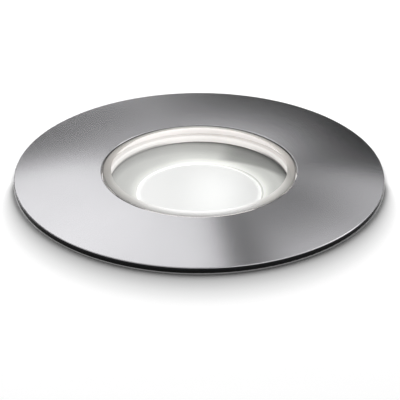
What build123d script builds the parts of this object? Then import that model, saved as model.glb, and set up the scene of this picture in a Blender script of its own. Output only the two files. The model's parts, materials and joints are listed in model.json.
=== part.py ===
from build123d import *
import math
import os

# Recessed ground light, in millimetres. +Z is up. The origin is the centre of the ground
# plane, which the gasket under the flange rests on. The lamp hangs below it in a sleeve that
# stays in the ground, and two spring levers on the lamp press on the wall of the sleeve.

os.makedirs("parts", exist_ok=True)


# Allowances that several pieces share

overrun = 1.0  # how far a cut runs past the face that it starts from
pin_clearance = 0.04  # radial, a lever on its pin
screw_clearance = 0.15  # radial, a screw through a plain hole
fit_gap = 0.2  # between pieces that are put together by hand


# Flange and the gasket that it presses on the ground

flange_overlap = 7.85  # how far the flange reaches past the collar of the sleeve
flange_thickness = 1.0  # at its rim; its face rises in a shallow dome towards its hole
flange_dome = 1.84
flange_edge_round = 0.25
flange_hole_gap = 0.35
flange_hole_chamfer = 0.15
gasket_thickness = 1.0
gasket_inset = 0.3
gasket_edge_round = 0.3
gasket_sleeve_gap = 1.0

flange_bottom = gasket_thickness
flange_top = flange_bottom + flange_thickness
flange_crown = flange_top + flange_dome


# Glass, and the white silicone ring that it is bonded into

glass_diameter = 57.3
glass_thickness = 8.0
glass_proud = 0.45
glass_bevel_width = 2.5
glass_bevel_start = 0.1  # the bevel begins this far under the crown of the flange
glass_bottom_chamfer = 0.4
seal_wall = 1.55
seal_lip_thickness = 1.95
seal_lip_reach = 1.85
seal_lip_round = 0.5

glass_radius = glass_diameter / 2
glass_top = flange_crown + glass_proud
glass_bottom = glass_top - glass_thickness
flange_hole_radius = glass_radius + flange_hole_gap
seat_radius = glass_radius + seal_wall
seal_bottom = glass_bottom - seal_lip_thickness
seal_mouth_radius = glass_radius - seal_lip_reach


# Reflector, diffuser and LED board

reflector_sheet = 0.8
reflector_lap = 0.5  # the rim lies this far under the lip of the seal
reflector_hem = 0.6
reflector_drop = 3.1
reflector_sag = 0.3  # the cone is slightly dished
reflector_collar_wall = 1.0
diffuser_share = 0.6423  # of the glass's radius
diffuser_wall = 1.0
diffuser_height = 3.4
diffuser_edge_round = 0.5
diffuser_foot_height = 0.8
board_thickness = 1.6
board_gap = 1.0  # radial, round the board
pad_thickness = 0.5
pad_setback = 0.5
pad_hole_gap = 0.4  # radial, round the board's screws
chip_side = 3.0
chip_height = 0.7
chip_ring_share = 0.57  # of the diffuser's radius
chip_ring_count = 8
board_screw_diameter = 2.5
board_screw_count = 3
board_screw_start = 30.0
board_screw_length = 4.6

diffuser_radius = glass_radius * diffuser_share
reflector_rim_radius = seal_mouth_radius + reflector_lap
reflector_mouth_radius = diffuser_radius + fit_gap
reflector_collar_radius = reflector_mouth_radius + reflector_collar_wall
reflector_mouth_top = seal_bottom - reflector_drop
diffuser_top = reflector_mouth_top
board_top = diffuser_top - diffuser_height
diffuser_foot_top = board_top + diffuser_foot_height
board_bottom = board_top - board_thickness
chamber_radius = reflector_rim_radius + fit_gap
board_radius = chamber_radius - board_gap
floor_top = board_bottom - pad_thickness
board_screw_circle = (reflector_collar_radius + board_radius) / 2


# Studs under the flange, with their nuts and washers

stud_diameter = 3.0
stud_count = 3
stud_start = 90.0
stud_tip_past_nut = 1.5
washer_diameter = 6.6
washer_thickness = 0.5
nut_across_flats = 5.5
nut_height = 2.4
nut_gap = 1.2  # between the barrel and the washers


# Housing: a die-cast barrel with a head, cooling fins and a flange at the rear

housing_wall = 2.2
head_thickness = 4.0
head_margin = 1.5  # metal outside the stud holes
head_fillet = 1.0
head_chamfer = 0.2
floor_thickness = 4.0
driver_bay_depth = 44.0
driver_bay_wall = 3.2
fin_count = 30
fin_height = 6.0
fin_root_thickness = 1.6
fin_tip_thickness = 1.1
fin_length = 36.0
fin_slope_height = 5.0
fin_clear_angle = 13.0  # no fin nearer than this to the middle of a spring lever
stud_clear_angle = 5.0  # and none nearer than this to a stud
rear_flange_thickness = 4.0
rear_screw_diameter = 3.0
rear_screw_count = 4
rear_screw_start = 45.0
rear_screw_wall = 0.9  # metal between the barrel and the screw holes
rear_flange_margin = 1.1
rear_screw_reach = 3.4
wire_hole_radius = 3.0
wire_hole_share = 0.8  # of the board's radius
wire_hole_angle = 0.0

barrel_radius = seat_radius + housing_wall
washer_radius = washer_diameter / 2
stud_circle = barrel_radius + washer_radius + nut_gap
stud_hole_radius = stud_diameter / 2 + screw_clearance
head_radius = stud_circle + stud_hole_radius + head_margin
head_bottom = flange_bottom - head_thickness
washer_bottom = head_bottom - washer_thickness
nut_bottom = washer_bottom - nut_height
stud_length = flange_bottom - nut_bottom + stud_tip_past_nut
driver_bay_radius = barrel_radius - driver_bay_wall
floor_bottom = floor_top - floor_thickness
housing_rear = floor_bottom - driver_bay_depth
rear_flange_top = housing_rear + rear_flange_thickness
rear_screw_circle = barrel_radius + rear_screw_wall + rear_screw_diameter / 2
rear_flange_radius = rear_screw_circle + rear_screw_diameter / 2 + rear_flange_margin
wire_hole_circle = board_radius * wire_hole_share
fin_tip_radius = barrel_radius + fin_height
fin_root_radius = barrel_radius - driver_bay_wall / 2


# Sleeve in the ground, its base and the cable entries

sleeve_gap = 2.0  # radial, round the head of the housing
sleeve_wall = 2.6
sleeve_band_height = 26.0  # plain band under the collar
sleeve_recess = 1.1  # below the band the wall is thinner, between ribs
sleeve_rib_count = 12
sleeve_rib_width = 2.4
rib_start = 15.0
sleeve_hoop_height = 3.0
sleeve_hoop_share = 0.5  # where the middle hoop is, down the ribbed part
knockout_radius = 10.0
knockout_groove = 0.8
knockout_depth = 0.6
sleeve_top_gap = 0.6  # the rim stays this far under the ground plane
sleeve_collar_width = 2.5
sleeve_collar_height = 3.0
sleeve_mouth_chamfer = 0.9
sleeve_step = 1.0
sleeve_foot = 4.0  # the wall runs on below the base plate
base_thickness = 2.5
base_rib_height = 2.5
base_rib_width = 2.0
base_rib_count = 4
base_rib_start = 45.0
base_hub_radius = 8.6
base_drain_radius = 6.0
base_ring_width = 2.0
drain_radius = 1.5
drain_count = 6
drain_start = 30.0
drain_circle_share = 0.62
cable_space = 19.0  # between the end of the gland and the base plate
entry_offset = 19.0
entry_hole_radius = 8.0
entry_flange_radius = 10.0
entry_flange_height = 1.4
entry_bore_radius = 3.6

sleeve_top = -sleeve_top_gap
sleeve_inner_radius = head_radius + sleeve_gap
sleeve_outer_radius = sleeve_inner_radius + sleeve_wall
collar_radius = sleeve_outer_radius + sleeve_collar_width
flange_radius = collar_radius + flange_overlap
gasket_inner_radius = collar_radius + gasket_sleeve_gap
gasket_outer_radius = flange_radius - gasket_inset


# Driver in its insulating cup

cup_gap = 0.6  # radial, in the driver bay
cup_wall = 1.2
cup_top_gap = 1.4
cup_post_radius = 2.6
cup_post_height = 7.0
cup_post_count = 3
cup_post_start = 30.0
cup_post_share = 0.82
cup_wire_radius = 5.0
driver_board_thickness = 1.6
driver_board_gap = 0.6
driver_screw_diameter = 2.0
driver_screw_bite = 4.0
core_length_share = 0.634  # the components' widths are shares of the board's radius
core_width_share = 0.522
core_leg_share = 0.168
core_yoke_share = 0.112
core_depth = 5.5
winding_gap = 0.2
winding_thickness = 2.0
winding_corner_round = 0.7
capacitor_radius_shares = (0.187, 0.149)
capacitor_heights = (16.0, 12.0)
capacitor_places_share = ((-0.56, -0.3), (-0.5, 0.27))  # of the driver board's radius
capacitor_neck = 0.5
capacitor_neck_height = 2.0
choke_flange_share = 0.168
choke_neck_share = 0.082
choke_winding_share = 0.149
choke_height = 6.0
choke_flange_height = 1.2
choke_place_share = (0.58, -0.3)
driver_chip_shares = ((0.224, 0.168), (0.168, 0.168), (0.261, 0.134))
driver_chip_heights = (1.8, 2.4, 1.2)
driver_chip_places_share = ((0.55, 0.15), (0.2, -0.72), (-0.18, 0.74))
transformer_place_share = (-0.02, 0.0)
terminal_width_share = 0.56
terminal_depth_share = 0.299
terminal_height = 9.0
terminal_poles = 3
terminal_entry_radius = 1.4
terminal_screw_radius = 1.5
terminal_screw_height = 2.2
terminal_slot_width = 0.5
terminal_slot_depth = 0.7
terminal_place_share = (0.3, 0.6)
terminal_entry_share = 0.4

cup_radius = driver_bay_radius - cup_gap
cup_inner_radius = cup_radius - cup_wall
cup_top = floor_bottom - cup_top_gap
cup_ceiling = cup_top - cup_wall
driver_board_top = cup_ceiling - cup_post_height
driver_board_bottom = driver_board_top - driver_board_thickness
driver_board_radius = cup_inner_radius - driver_board_gap
cup_post_circle = driver_board_radius * cup_post_share
core_length = driver_board_radius * core_length_share
core_width = driver_board_radius * core_width_share
core_leg = driver_board_radius * core_leg_share
core_yoke = driver_board_radius * core_yoke_share
choke_flange_radius = driver_board_radius * choke_flange_share
choke_neck_radius = driver_board_radius * choke_neck_share
choke_winding_radius = driver_board_radius * choke_winding_share
terminal_width = driver_board_radius * terminal_width_share
terminal_depth = driver_board_radius * terminal_depth_share


# Rear cover with its O-ring, gland and vent

cover_thickness = 4.0
spigot_height = 2.0
spigot_gap = 0.3
ring_section = 1.7
ring_squeeze_gap = 0.05
pan_head_share = 0.9  # radius of a pan head, as a share of the screw's diameter
pan_height_share = 0.65  # its height, as a share of the screw's diameter
socket_share = 0.45  # radius of the hexagon socket, as a share of the screw's diameter
gland_thread_radius = 6.0
gland_bore_radius = 4.0
gland_hex = 15.0
gland_hex_height = 4.0
gland_washer_radius = 8.5
gland_washer_thickness = 1.0
locknut_hex = 16.0
locknut_height = 3.0
gland_thread_past_nut = 0.8
gland_skirt_radius = 6.4
gland_skirt_length = 6.5
insert_bore_radius = 3.5
insert_wall = 1.5
insert_length = 8.0
insert_depth = 5.5
gland_nut_height = 7.0
gland_nut_dome = 3.5
gland_nut_mouth_radius = 4.2
gland_nut_wall = 1.0
vent_offset = 20.0
vent_shank_radius = 3.0
vent_head_radius = 5.0
vent_head_height = 2.6
vent_slot_width = 1.0
vent_slot_depth = 1.0
vent_edge_round = 0.8
cover_edge_round = 0.8

cover_top = housing_rear
cover_bottom = cover_top - cover_thickness
cover_radius = rear_flange_radius
spigot_top = cover_top + spigot_height
spigot_radius = cup_inner_radius - spigot_gap
ring_circle = (driver_bay_radius + barrel_radius) / 2
groove_depth = ring_section + ring_squeeze_gap
gland_washer_bottom = cover_bottom - gland_washer_thickness
gland_hex_bottom = gland_washer_bottom - gland_hex_height
gland_skirt_bottom = gland_hex_bottom - gland_skirt_length
gland_thread_top = spigot_top + locknut_height + gland_thread_past_nut
insert_radius = insert_bore_radius + insert_wall
insert_top = gland_skirt_bottom + insert_depth
insert_bottom = insert_top - insert_length
gland_nut_top = gland_hex_bottom - fit_gap
gland_nut_straight = gland_nut_top - gland_nut_height
gland_nut_bottom = gland_nut_straight - gland_nut_dome
base_top = gland_nut_bottom - cable_space
base_bottom = base_top - base_thickness
sleeve_bottom = base_bottom - sleeve_foot
sleeve_seat_radius = sleeve_inner_radius + sleeve_step
base_radius = sleeve_seat_radius - fit_gap / 2


# Spring levers: bracket on the housing, lever, pin and torsion spring

clip_sheet = 0.8
bracket_sheet = 1.0
bracket_boss_height = 1.4  # the flat on the housing stands out this far from the barrel
bracket_boss_margin = 1.0
clip_pivot_height = -30.0
clip_pin_radius = 1.0
clip_pin_head_radius = 1.6
clip_pin_head_height = 0.6
spring_wire = 0.6
spring_inner_gap = 0.3  # between the pin and the coil
spring_outer_gap = 0.25  # between the coil and the sheets on both sides
spring_turns = 5.5
spring_pitch = 0.75
spring_leg = 6.0
spring_bend_share = 1.02  # a bend is this much fatter than the wire
lever_width = 9.0
lever_side_gap = 0.6
lever_ear_radius = 1.9
lever_ear_top = 6.0
lever_straight_top = 3.0
lever_foot = 2.4
lever_length = 15.0
lever_wall_gap = 0.35  # the tip stays this far off the wall of the sleeve
lever_curl_radius = 1.4
lever_curl_angle = 110.0
bracket_ear_radius = 2.5
bracket_top = 7.5
bracket_foot = 10.0
bracket_screw_diameter = 2.5
bracket_screw_spacing = 6.2
bracket_screw_drop = 7.2
bracket_screw_bite = 2.8
bracket_corner_round = 1.2
clip_sides = (("right", 0), ("left", 180))

boss_face = barrel_radius + bracket_boss_height
bracket_face = boss_face + bracket_sheet
coil_radius = clip_pin_radius + spring_inner_gap + spring_wire / 2
coil_outer_radius = coil_radius + spring_wire / 2
clip_pivot_x = bracket_face + spring_outer_gap + coil_outer_radius
web_inner_x = clip_pivot_x + coil_outer_radius + spring_outer_gap
web_outer_x = web_inner_x + clip_sheet
lever_half = lever_width / 2
bracket_inner_half = lever_half + lever_side_gap
bracket_half = bracket_inner_half + bracket_sheet
tip_outer_x = math.sqrt((sleeve_inner_radius - lever_wall_gap) ** 2 - lever_half**2)
tip_z = clip_pivot_height + lever_length


# Flange: a stamped ring, with three threaded studs welded under it

with BuildPart() as trim_flange:
    with BuildSketch(Plane.XZ) as flange_section:
        with BuildLine():
            Polyline(
                (flange_radius, flange_top),
                (flange_radius, flange_bottom),
                (flange_hole_radius, flange_bottom),
                (flange_hole_radius, flange_crown),
            )
            TangentArc(
                (flange_hole_radius, flange_crown),
                (flange_radius, flange_top),
                tangent=(1, 0),
            )
        make_face()
        hole_corners = flange_section.vertices().group_by(Axis.X)[0]
        chamfer(hole_corners.sort_by(Axis.Y)[-1], length=flange_hole_chamfer)
        rim_corners = flange_section.vertices().group_by(Axis.X)[-1]
        fillet(rim_corners.sort_by(Axis.Y)[-1], radius=flange_edge_round)
    revolve(axis=Axis.Z)

trim_flange.part.label = "trim_flange"
export_step(trim_flange.part, "parts/trim_flange.step")


stud_spots = PolarLocations(stud_circle, stud_count, stud_start)

with BuildPart() as trim_studs:
    with BuildSketch(Plane.XY.offset(flange_bottom)):
        with stud_spots:
            Circle(stud_diameter / 2)
    extrude(amount=-stud_length)

trim_studs.part.label = "trim_studs"
export_step(trim_studs.part, "parts/trim_studs.step")


with BuildPart() as ground_gasket:
    with BuildSketch():
        Circle(gasket_outer_radius)
        Circle(gasket_inner_radius, mode=Mode.SUBTRACT)
    extrude(amount=gasket_thickness)
    lower_rims = ground_gasket.faces().sort_by(Axis.Z)[0].edges()
    fillet(lower_rims, radius=gasket_edge_round)

ground_gasket.part.label = "ground_gasket"
export_step(ground_gasket.part, "parts/ground_gasket.step")


# Glass: a thick disc with a wide shallow bevel, and its bonded seal

with BuildPart() as glass_lens:
    with BuildSketch(Plane.XZ):
        with BuildLine():
            Polyline(
                (0, glass_bottom),
                (glass_radius - glass_bottom_chamfer, glass_bottom),
                (glass_radius, glass_bottom + glass_bottom_chamfer),
                (glass_radius, flange_crown - glass_bevel_start),
                (glass_radius - glass_bevel_width, glass_top),
                (0, glass_top),
                close=True,
            )
        make_face()
    revolve(axis=Axis.Z)

glass_lens.part.label = "glass_lens"
export_step(glass_lens.part, "parts/glass_lens.step")


with BuildPart() as glass_seal:
    with BuildSketch(Plane.XZ) as seal_section:
        with BuildLine():
            Polyline(
                (seal_mouth_radius, seal_bottom),
                (seat_radius, seal_bottom),
                (seat_radius, flange_bottom),
                (glass_radius, flange_bottom),
                (glass_radius, glass_bottom),
                (seal_mouth_radius, glass_bottom),
                close=True,
            )
        make_face()
        lip_corners = seal_section.vertices().group_by(Axis.X)[0]
        fillet(lip_corners.sort_by(Axis.Y)[-1], radius=seal_lip_round)
    revolve(axis=Axis.Z)

glass_seal.part.label = "glass_seal"
export_step(glass_seal.part, "parts/glass_seal.step")


# Reflector: a spun cone whose rim lies under the seal and whose collar holds the diffuser

with BuildPart() as reflector:
    cone_top = (reflector_rim_radius - reflector_hem, seal_bottom)
    cone_foot = (reflector_mouth_radius, reflector_mouth_top)
    with BuildSketch(Plane.XZ):
        with BuildLine():
            Line((reflector_rim_radius, seal_bottom), cone_top)
            SagittaArc(cone_top, cone_foot, reflector_sag)
            Polyline(
                cone_foot,
                (reflector_mouth_radius, diffuser_foot_top),
                (reflector_collar_radius, diffuser_foot_top),
                (reflector_collar_radius, reflector_mouth_top - reflector_sheet),
                (reflector_rim_radius, seal_bottom - reflector_sheet),
                (reflector_rim_radius, seal_bottom),
            )
        make_face()
    revolve(axis=Axis.Z)

reflector.part.label = "reflector"
export_step(reflector.part, "parts/reflector.step")


with BuildPart() as diffuser:
    with BuildSketch(Plane.XZ) as diffuser_section:
        with BuildLine():
            Polyline(
                (0, diffuser_top),
                (diffuser_radius, diffuser_top),
                (diffuser_radius, diffuser_foot_top),
                (reflector_collar_radius, diffuser_foot_top),
                (reflector_collar_radius, board_top),
                (diffuser_radius - diffuser_wall, board_top),
                (diffuser_radius - diffuser_wall, diffuser_top - diffuser_wall),
                (0, diffuser_top - diffuser_wall),
                close=True,
            )
        make_face()
        top_corner = diffuser_section.vertices().group_by(Axis.Y)[-1].sort_by(Axis.X)[-1]
        fillet(top_corner, radius=diffuser_edge_round)
    revolve(axis=Axis.Z)

diffuser.part.label = "diffuser"
export_step(diffuser.part, "parts/diffuser.step")


# LED board with its chips, screws and thermal pad

with BuildPart() as led_board:
    with BuildSketch(Plane.XY.offset(board_bottom)):
        Circle(board_radius)
        with PolarLocations(board_screw_circle, board_screw_count, board_screw_start):
            Circle(board_screw_diameter / 2 + screw_clearance, mode=Mode.SUBTRACT)
        with PolarLocations(wire_hole_circle, 1, wire_hole_angle):
            Circle(wire_hole_radius / 2, mode=Mode.SUBTRACT)
    extrude(amount=board_thickness)

led_board.part.label = "led_board"
export_step(led_board.part, "parts/led_board.step")


with BuildPart() as led_chips:
    with BuildSketch(Plane.XY.offset(board_top)):
        Rectangle(chip_side, chip_side)
        with PolarLocations(diffuser_radius * chip_ring_share, chip_ring_count):
            Rectangle(chip_side, chip_side)
    extrude(amount=chip_height)

led_chips.part.label = "led_chips"
export_step(led_chips.part, "parts/led_chips.step")


with BuildPart() as thermal_pad:
    with BuildSketch(Plane.XY.offset(floor_top)):
        Circle(board_radius - pad_setback)
        with PolarLocations(board_screw_circle, board_screw_count, board_screw_start):
            Circle(board_screw_diameter / 2 + pad_hole_gap, mode=Mode.SUBTRACT)
        with PolarLocations(wire_hole_circle, 1, wire_hole_angle):
            Circle(wire_hole_radius, mode=Mode.SUBTRACT)
    extrude(amount=pad_thickness)

thermal_pad.part.label = "thermal_pad"
export_step(thermal_pad.part, "parts/thermal_pad.step")


with BuildPart() as led_board_screws:
    screw_spots = PolarLocations(board_screw_circle, board_screw_count, board_screw_start)
    with BuildSketch(Plane.XY.offset(board_top)):
        with screw_spots:
            Circle(board_screw_diameter * pan_head_share)
    extrude(amount=board_screw_diameter * pan_height_share)
    with BuildSketch(Plane.XY.offset(board_top)):
        with screw_spots:
            Circle(board_screw_diameter / 2)
    extrude(amount=-board_screw_length)

led_board_screws.part.label = "led_board_screws"
export_step(led_board_screws.part, "parts/led_board_screws.step")


# Housing: one casting that seats the glass, carries the board and closes round the driver

fin_angles = [
    360 / fin_count * (step + 1 / 2)
    for step in range(fin_count)
]
lever_angles = [turn for side, turn in clip_sides]
stud_angles = [stud_start + 360 / stud_count * step for step in range(stud_count)]


def angle_between(one, other):
    """The smaller angle between two directions, in degrees."""
    return abs((one - other + 180) % 360 - 180)


def has_room(angle):
    """Whether a fin at this angle stays clear of the levers and of the studs."""
    off_levers = min(angle_between(angle, place) for place in lever_angles)
    off_studs = min(angle_between(angle, place) for place in stud_angles)
    return off_levers > fin_clear_angle and off_studs > stud_clear_angle


# one cooling fin, thinner towards its tip and sloped at the bottom
with BuildPart() as fin:
    with BuildSketch(Plane.XY.offset(head_bottom - fin_length)):
        with BuildLine():
            Polyline(
                (fin_root_radius, -fin_root_thickness / 2),
                (fin_tip_radius, -fin_tip_thickness / 2),
                (fin_tip_radius, fin_tip_thickness / 2),
                (fin_root_radius, fin_root_thickness / 2),
                close=True,
            )
        make_face()
    extrude(amount=fin_length)
    lower_tip = fin.edges().filter_by(Axis.Y).group_by(Axis.Z)[0].sort_by(Axis.X)[-1]
    chamfer(lower_tip, length=fin_slope_height)

with BuildPart() as housing:
    with BuildSketch(Plane.XZ):
        with BuildLine():
            Polyline(
                (0, housing_rear),
                (rear_flange_radius, housing_rear),
                (rear_flange_radius, rear_flange_top),
                (barrel_radius, rear_flange_top),
                (barrel_radius, head_bottom),
                (head_radius, head_bottom),
                (head_radius, flange_bottom),
                (0, flange_bottom),
                close=True,
            )
        make_face()
    revolve(axis=Axis.Z)
    head_corner = housing.edges().filter_by(GeomType.CIRCLE).filter_by(
        lambda edge: abs(edge.radius - barrel_radius) < fit_gap
    )
    fillet(head_corner, radius=head_fillet)
    rims = housing.edges().filter_by(GeomType.CIRCLE).group_by(Axis.Z)[-1]
    chamfer(rims, length=head_chamfer)

    # cooling fins under the head
    for angle in fin_angles:
        if has_room(angle):
            add(fin.part, rotation=(0, 0, angle))

    # flats for the lever brackets, with their tapped holes
    boss_half = bracket_half + bracket_boss_margin
    boss_bottom = clip_pivot_height - bracket_foot - bracket_boss_margin
    boss_top = clip_pivot_height + bracket_top + bracket_boss_margin
    boss_middle = (boss_bottom + boss_top) / 2
    for side, turn in clip_sides:
        facing = math.cos(math.radians(turn))
        outward = Plane(origin=(0, 0, 0), x_dir=(0, facing, 0), z_dir=(facing, 0, 0))
        with BuildSketch(outward.offset(fin_root_radius)):
            with Locations((0, boss_middle)):
                Rectangle(2 * boss_half, boss_top - boss_bottom)
        extrude(amount=boss_face - fin_root_radius)
        with BuildSketch(outward.offset(boss_face)):
            with Locations((0, clip_pivot_height - bracket_screw_drop)):
                with GridLocations(bracket_screw_spacing, 0, 2, 1):
                    Circle(bracket_screw_diameter / 2)
        extrude(amount=-bracket_screw_bite - fit_gap, mode=Mode.SUBTRACT)

    # seat of the glass, LED chamber and driver bay
    with BuildSketch(Plane.XY.offset(flange_bottom)):
        Circle(seat_radius)
    extrude(amount=seal_bottom - flange_bottom, mode=Mode.SUBTRACT)
    with BuildSketch(Plane.XY.offset(seal_bottom)):
        Circle(chamber_radius)
    extrude(amount=floor_top - seal_bottom, mode=Mode.SUBTRACT)
    with BuildSketch(Plane.XY.offset(housing_rear)):
        Circle(driver_bay_radius)
    extrude(amount=driver_bay_depth, mode=Mode.SUBTRACT)

    # holes for the wires, the board screws, the studs and the screws of the rear cover
    with BuildSketch(Plane.XY.offset(floor_bottom)):
        with PolarLocations(wire_hole_circle, 1, wire_hole_angle):
            Circle(wire_hole_radius)
    extrude(amount=floor_thickness, mode=Mode.SUBTRACT)
    with BuildSketch(Plane.XY.offset(floor_top)):
        with screw_spots:
            Circle(board_screw_diameter / 2)
    extrude(
        amount=board_top - floor_top - board_screw_length - fit_gap,
        mode=Mode.SUBTRACT,
    )
    with BuildSketch(Plane.XY.offset(head_bottom)):
        with stud_spots:
            Circle(stud_hole_radius)
    extrude(amount=head_thickness, mode=Mode.SUBTRACT)
    with BuildSketch(Plane.XY.offset(housing_rear)):
        with PolarLocations(rear_screw_circle, rear_screw_count, rear_screw_start):
            Circle(rear_screw_diameter / 2)
    extrude(amount=rear_flange_thickness, mode=Mode.SUBTRACT)

housing.part.label = "housing"
export_step(housing.part, "parts/housing.step")


# Nuts and washers on the studs of the flange, under the head of the housing

with BuildPart() as trim_washers:
    with BuildSketch(Plane.XY.offset(washer_bottom)):
        with stud_spots:
            Circle(washer_radius)
        with stud_spots:
            Circle(stud_hole_radius, mode=Mode.SUBTRACT)
    extrude(amount=washer_thickness)

trim_washers.part.label = "trim_washers"
export_step(trim_washers.part, "parts/trim_washers.step")


with BuildPart() as trim_nuts:
    with BuildSketch(Plane.XY.offset(nut_bottom)):
        with stud_spots:
            RegularPolygon(nut_across_flats / 2, 6, major_radius=False)
        with stud_spots:
            Circle(stud_diameter / 2 + pin_clearance, mode=Mode.SUBTRACT)
    extrude(amount=nut_height)

trim_nuts.part.label = "trim_nuts"
export_step(trim_nuts.part, "parts/trim_nuts.step")


# Grommet that lines the wire hole in the floor of the housing

grommet_lip_radius = cup_wire_radius - fit_gap
grommet_lip_height = cup_top_gap / 2

with BuildPart() as wire_grommet:
    with BuildSketch(Plane.XY.offset(floor_bottom)):
        with PolarLocations(wire_hole_circle, 1, wire_hole_angle):
            Circle(wire_hole_radius)
    extrude(amount=floor_thickness)
    with BuildSketch(Plane.XY.offset(floor_bottom)):
        with PolarLocations(wire_hole_circle, 1, wire_hole_angle):
            Circle(grommet_lip_radius)
    extrude(amount=-grommet_lip_height)
    with BuildSketch(Plane.XY.offset(floor_top)):
        with PolarLocations(wire_hole_circle, 1, wire_hole_angle):
            Circle(wire_hole_radius / 2)
    extrude(amount=-floor_thickness - grommet_lip_height, mode=Mode.SUBTRACT)

wire_grommet.part.label = "wire_grommet"
export_step(wire_grommet.part, "parts/wire_grommet.step")


# Insulating cup round the driver, with posts for its board

post_spots = PolarLocations(cup_post_circle, cup_post_count, cup_post_start)

with BuildPart() as driver_cup:
    with BuildSketch(Plane.XY.offset(cover_top)):
        Circle(cup_radius)
    extrude(amount=cup_top - cover_top)
    fillet(driver_cup.edges().group_by(Axis.Z)[-1], radius=cup_wall / 2)
    with BuildSketch(Plane.XY.offset(cover_top)):
        Circle(cup_inner_radius)
    extrude(amount=cup_ceiling - cover_top, mode=Mode.SUBTRACT)
    with BuildSketch(Plane.XY.offset(cup_ceiling)):
        with post_spots:
            Circle(cup_post_radius)
    extrude(amount=-cup_post_height)
    with BuildSketch(Plane.XY.offset(driver_board_top)):
        with post_spots:
            Circle(driver_screw_diameter / 2)
    extrude(amount=driver_screw_bite, mode=Mode.SUBTRACT)
    with BuildSketch(Plane.XY.offset(cup_ceiling)):
        with PolarLocations(wire_hole_circle, 1, wire_hole_angle):
            Circle(cup_wire_radius)
    extrude(amount=cup_wall, mode=Mode.SUBTRACT)

driver_cup.part.label = "driver_cup"
export_step(driver_cup.part, "parts/driver_cup.step")


with BuildPart() as driver_board:
    with BuildSketch(Plane.XY.offset(driver_board_bottom)):
        Circle(driver_board_radius)
        with post_spots:
            Circle(driver_screw_diameter / 2 + screw_clearance, mode=Mode.SUBTRACT)
    extrude(amount=driver_board_thickness)

driver_board.part.label = "driver_board"
export_step(driver_board.part, "parts/driver_board.step")


with BuildPart() as driver_board_screws:
    with BuildSketch(Plane.XY.offset(driver_board_bottom)):
        with post_spots:
            Circle(driver_screw_diameter * pan_head_share)
    extrude(amount=-driver_screw_diameter * pan_height_share)
    with BuildSketch(Plane.XY.offset(driver_board_bottom)):
        with post_spots:
            Circle(driver_screw_diameter / 2)
    extrude(amount=driver_board_thickness + driver_screw_bite - fit_gap)

driver_board_screws.part.label = "driver_board_screws"
export_step(driver_board_screws.part, "parts/driver_board_screws.step")


# Components that hang under the driver board

def on_board(share):
    """The place or size on the driver board at these shares of its radius."""
    return (driver_board_radius * share[0], driver_board_radius * share[1])


transformer_place = on_board(transformer_place_share)
winding_top = driver_board_bottom
core_top = winding_top - winding_thickness - winding_gap
winding_height = core_depth + 2 * (winding_thickness + winding_gap)
window_width = (core_length - 2 * core_yoke - core_leg) / 2
window_centre = (core_leg + window_width) / 2
winding_half = core_length / 2 - core_yoke - winding_gap

with BuildPart() as transformer_core:
    with BuildSketch(Plane.XY.offset(core_top)):
        with Locations(transformer_place):
            Rectangle(core_length, core_width + 2 * core_yoke)
            with Locations((window_centre, 0), (-window_centre, 0)):
                Rectangle(window_width, core_width, mode=Mode.SUBTRACT)
    extrude(amount=-core_depth)

transformer_core.part.label = "transformer_core"
export_step(transformer_core.part, "parts/transformer_core.step")


with BuildPart() as transformer_winding:
    with BuildSketch(Plane.XZ.offset(-transformer_place[1])):
        with Locations((transformer_place[0], winding_top - winding_height / 2)):
            RectangleRounded(2 * winding_half, winding_height, winding_corner_round)
            Rectangle(
                core_leg + 2 * winding_gap,
                core_depth + 2 * winding_gap,
                mode=Mode.SUBTRACT,
            )
    extrude(amount=core_width / 2 - winding_gap, both=True)

transformer_winding.part.label = "transformer_winding"
export_step(transformer_winding.part, "parts/transformer_winding.step")


with BuildPart() as capacitors:
    capacitor_rows = zip(capacitor_radius_shares, capacitor_heights, capacitor_places_share)
    for radius_share, height, share in capacitor_rows:
        radius = driver_board_radius * radius_share
        place = on_board(share)
        with BuildSketch(Plane.XY.offset(driver_board_bottom)):
            with Locations(place):
                Circle(radius)
        extrude(amount=-height)
        neck_top = driver_board_bottom - capacitor_neck_height
        with BuildSketch(Plane.XY.offset(neck_top)):
            with Locations(place):
                Circle(radius)
                Circle(radius - capacitor_neck, mode=Mode.SUBTRACT)
        extrude(amount=-capacitor_neck, mode=Mode.SUBTRACT)

capacitors.part.label = "capacitors"
export_step(capacitors.part, "parts/capacitors.step")


choke_place = on_board(choke_place_share)

with BuildPart() as choke_core:
    for top in (driver_board_bottom, driver_board_bottom - choke_height + choke_flange_height):
        with BuildSketch(Plane.XY.offset(top)):
            with Locations(choke_place):
                Circle(choke_flange_radius)
        extrude(amount=-choke_flange_height)
    with BuildSketch(Plane.XY.offset(driver_board_bottom)):
        with Locations(choke_place):
            Circle(choke_neck_radius)
    extrude(amount=-choke_height)

choke_core.part.label = "choke_core"
export_step(choke_core.part, "parts/choke_core.step")


with BuildPart() as choke_winding:
    with BuildSketch(Plane.XY.offset(driver_board_bottom - choke_flange_height)):
        with Locations(choke_place):
            Circle(choke_winding_radius)
            Circle(choke_neck_radius, mode=Mode.SUBTRACT)
    extrude(amount=2 * choke_flange_height - choke_height)

choke_winding.part.label = "choke_winding"
export_step(choke_winding.part, "parts/choke_winding.step")


with BuildPart() as driver_chips:
    chip_rows = zip(driver_chip_shares, driver_chip_heights, driver_chip_places_share)
    for size_share, height, share in chip_rows:
        with BuildSketch(Plane.XY.offset(driver_board_bottom)):
            with Locations(on_board(share)):
                Rectangle(*on_board(size_share))
        extrude(amount=-height)

driver_chips.part.label = "driver_chips"
export_step(driver_chips.part, "parts/driver_chips.step")


# Terminal block for the supply cable: wires go in from the side, screws from below

terminal_place = on_board(terminal_place_share)
terminal_pitch = terminal_width / terminal_poles
terminal_bottom = driver_board_bottom - terminal_height

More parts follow.
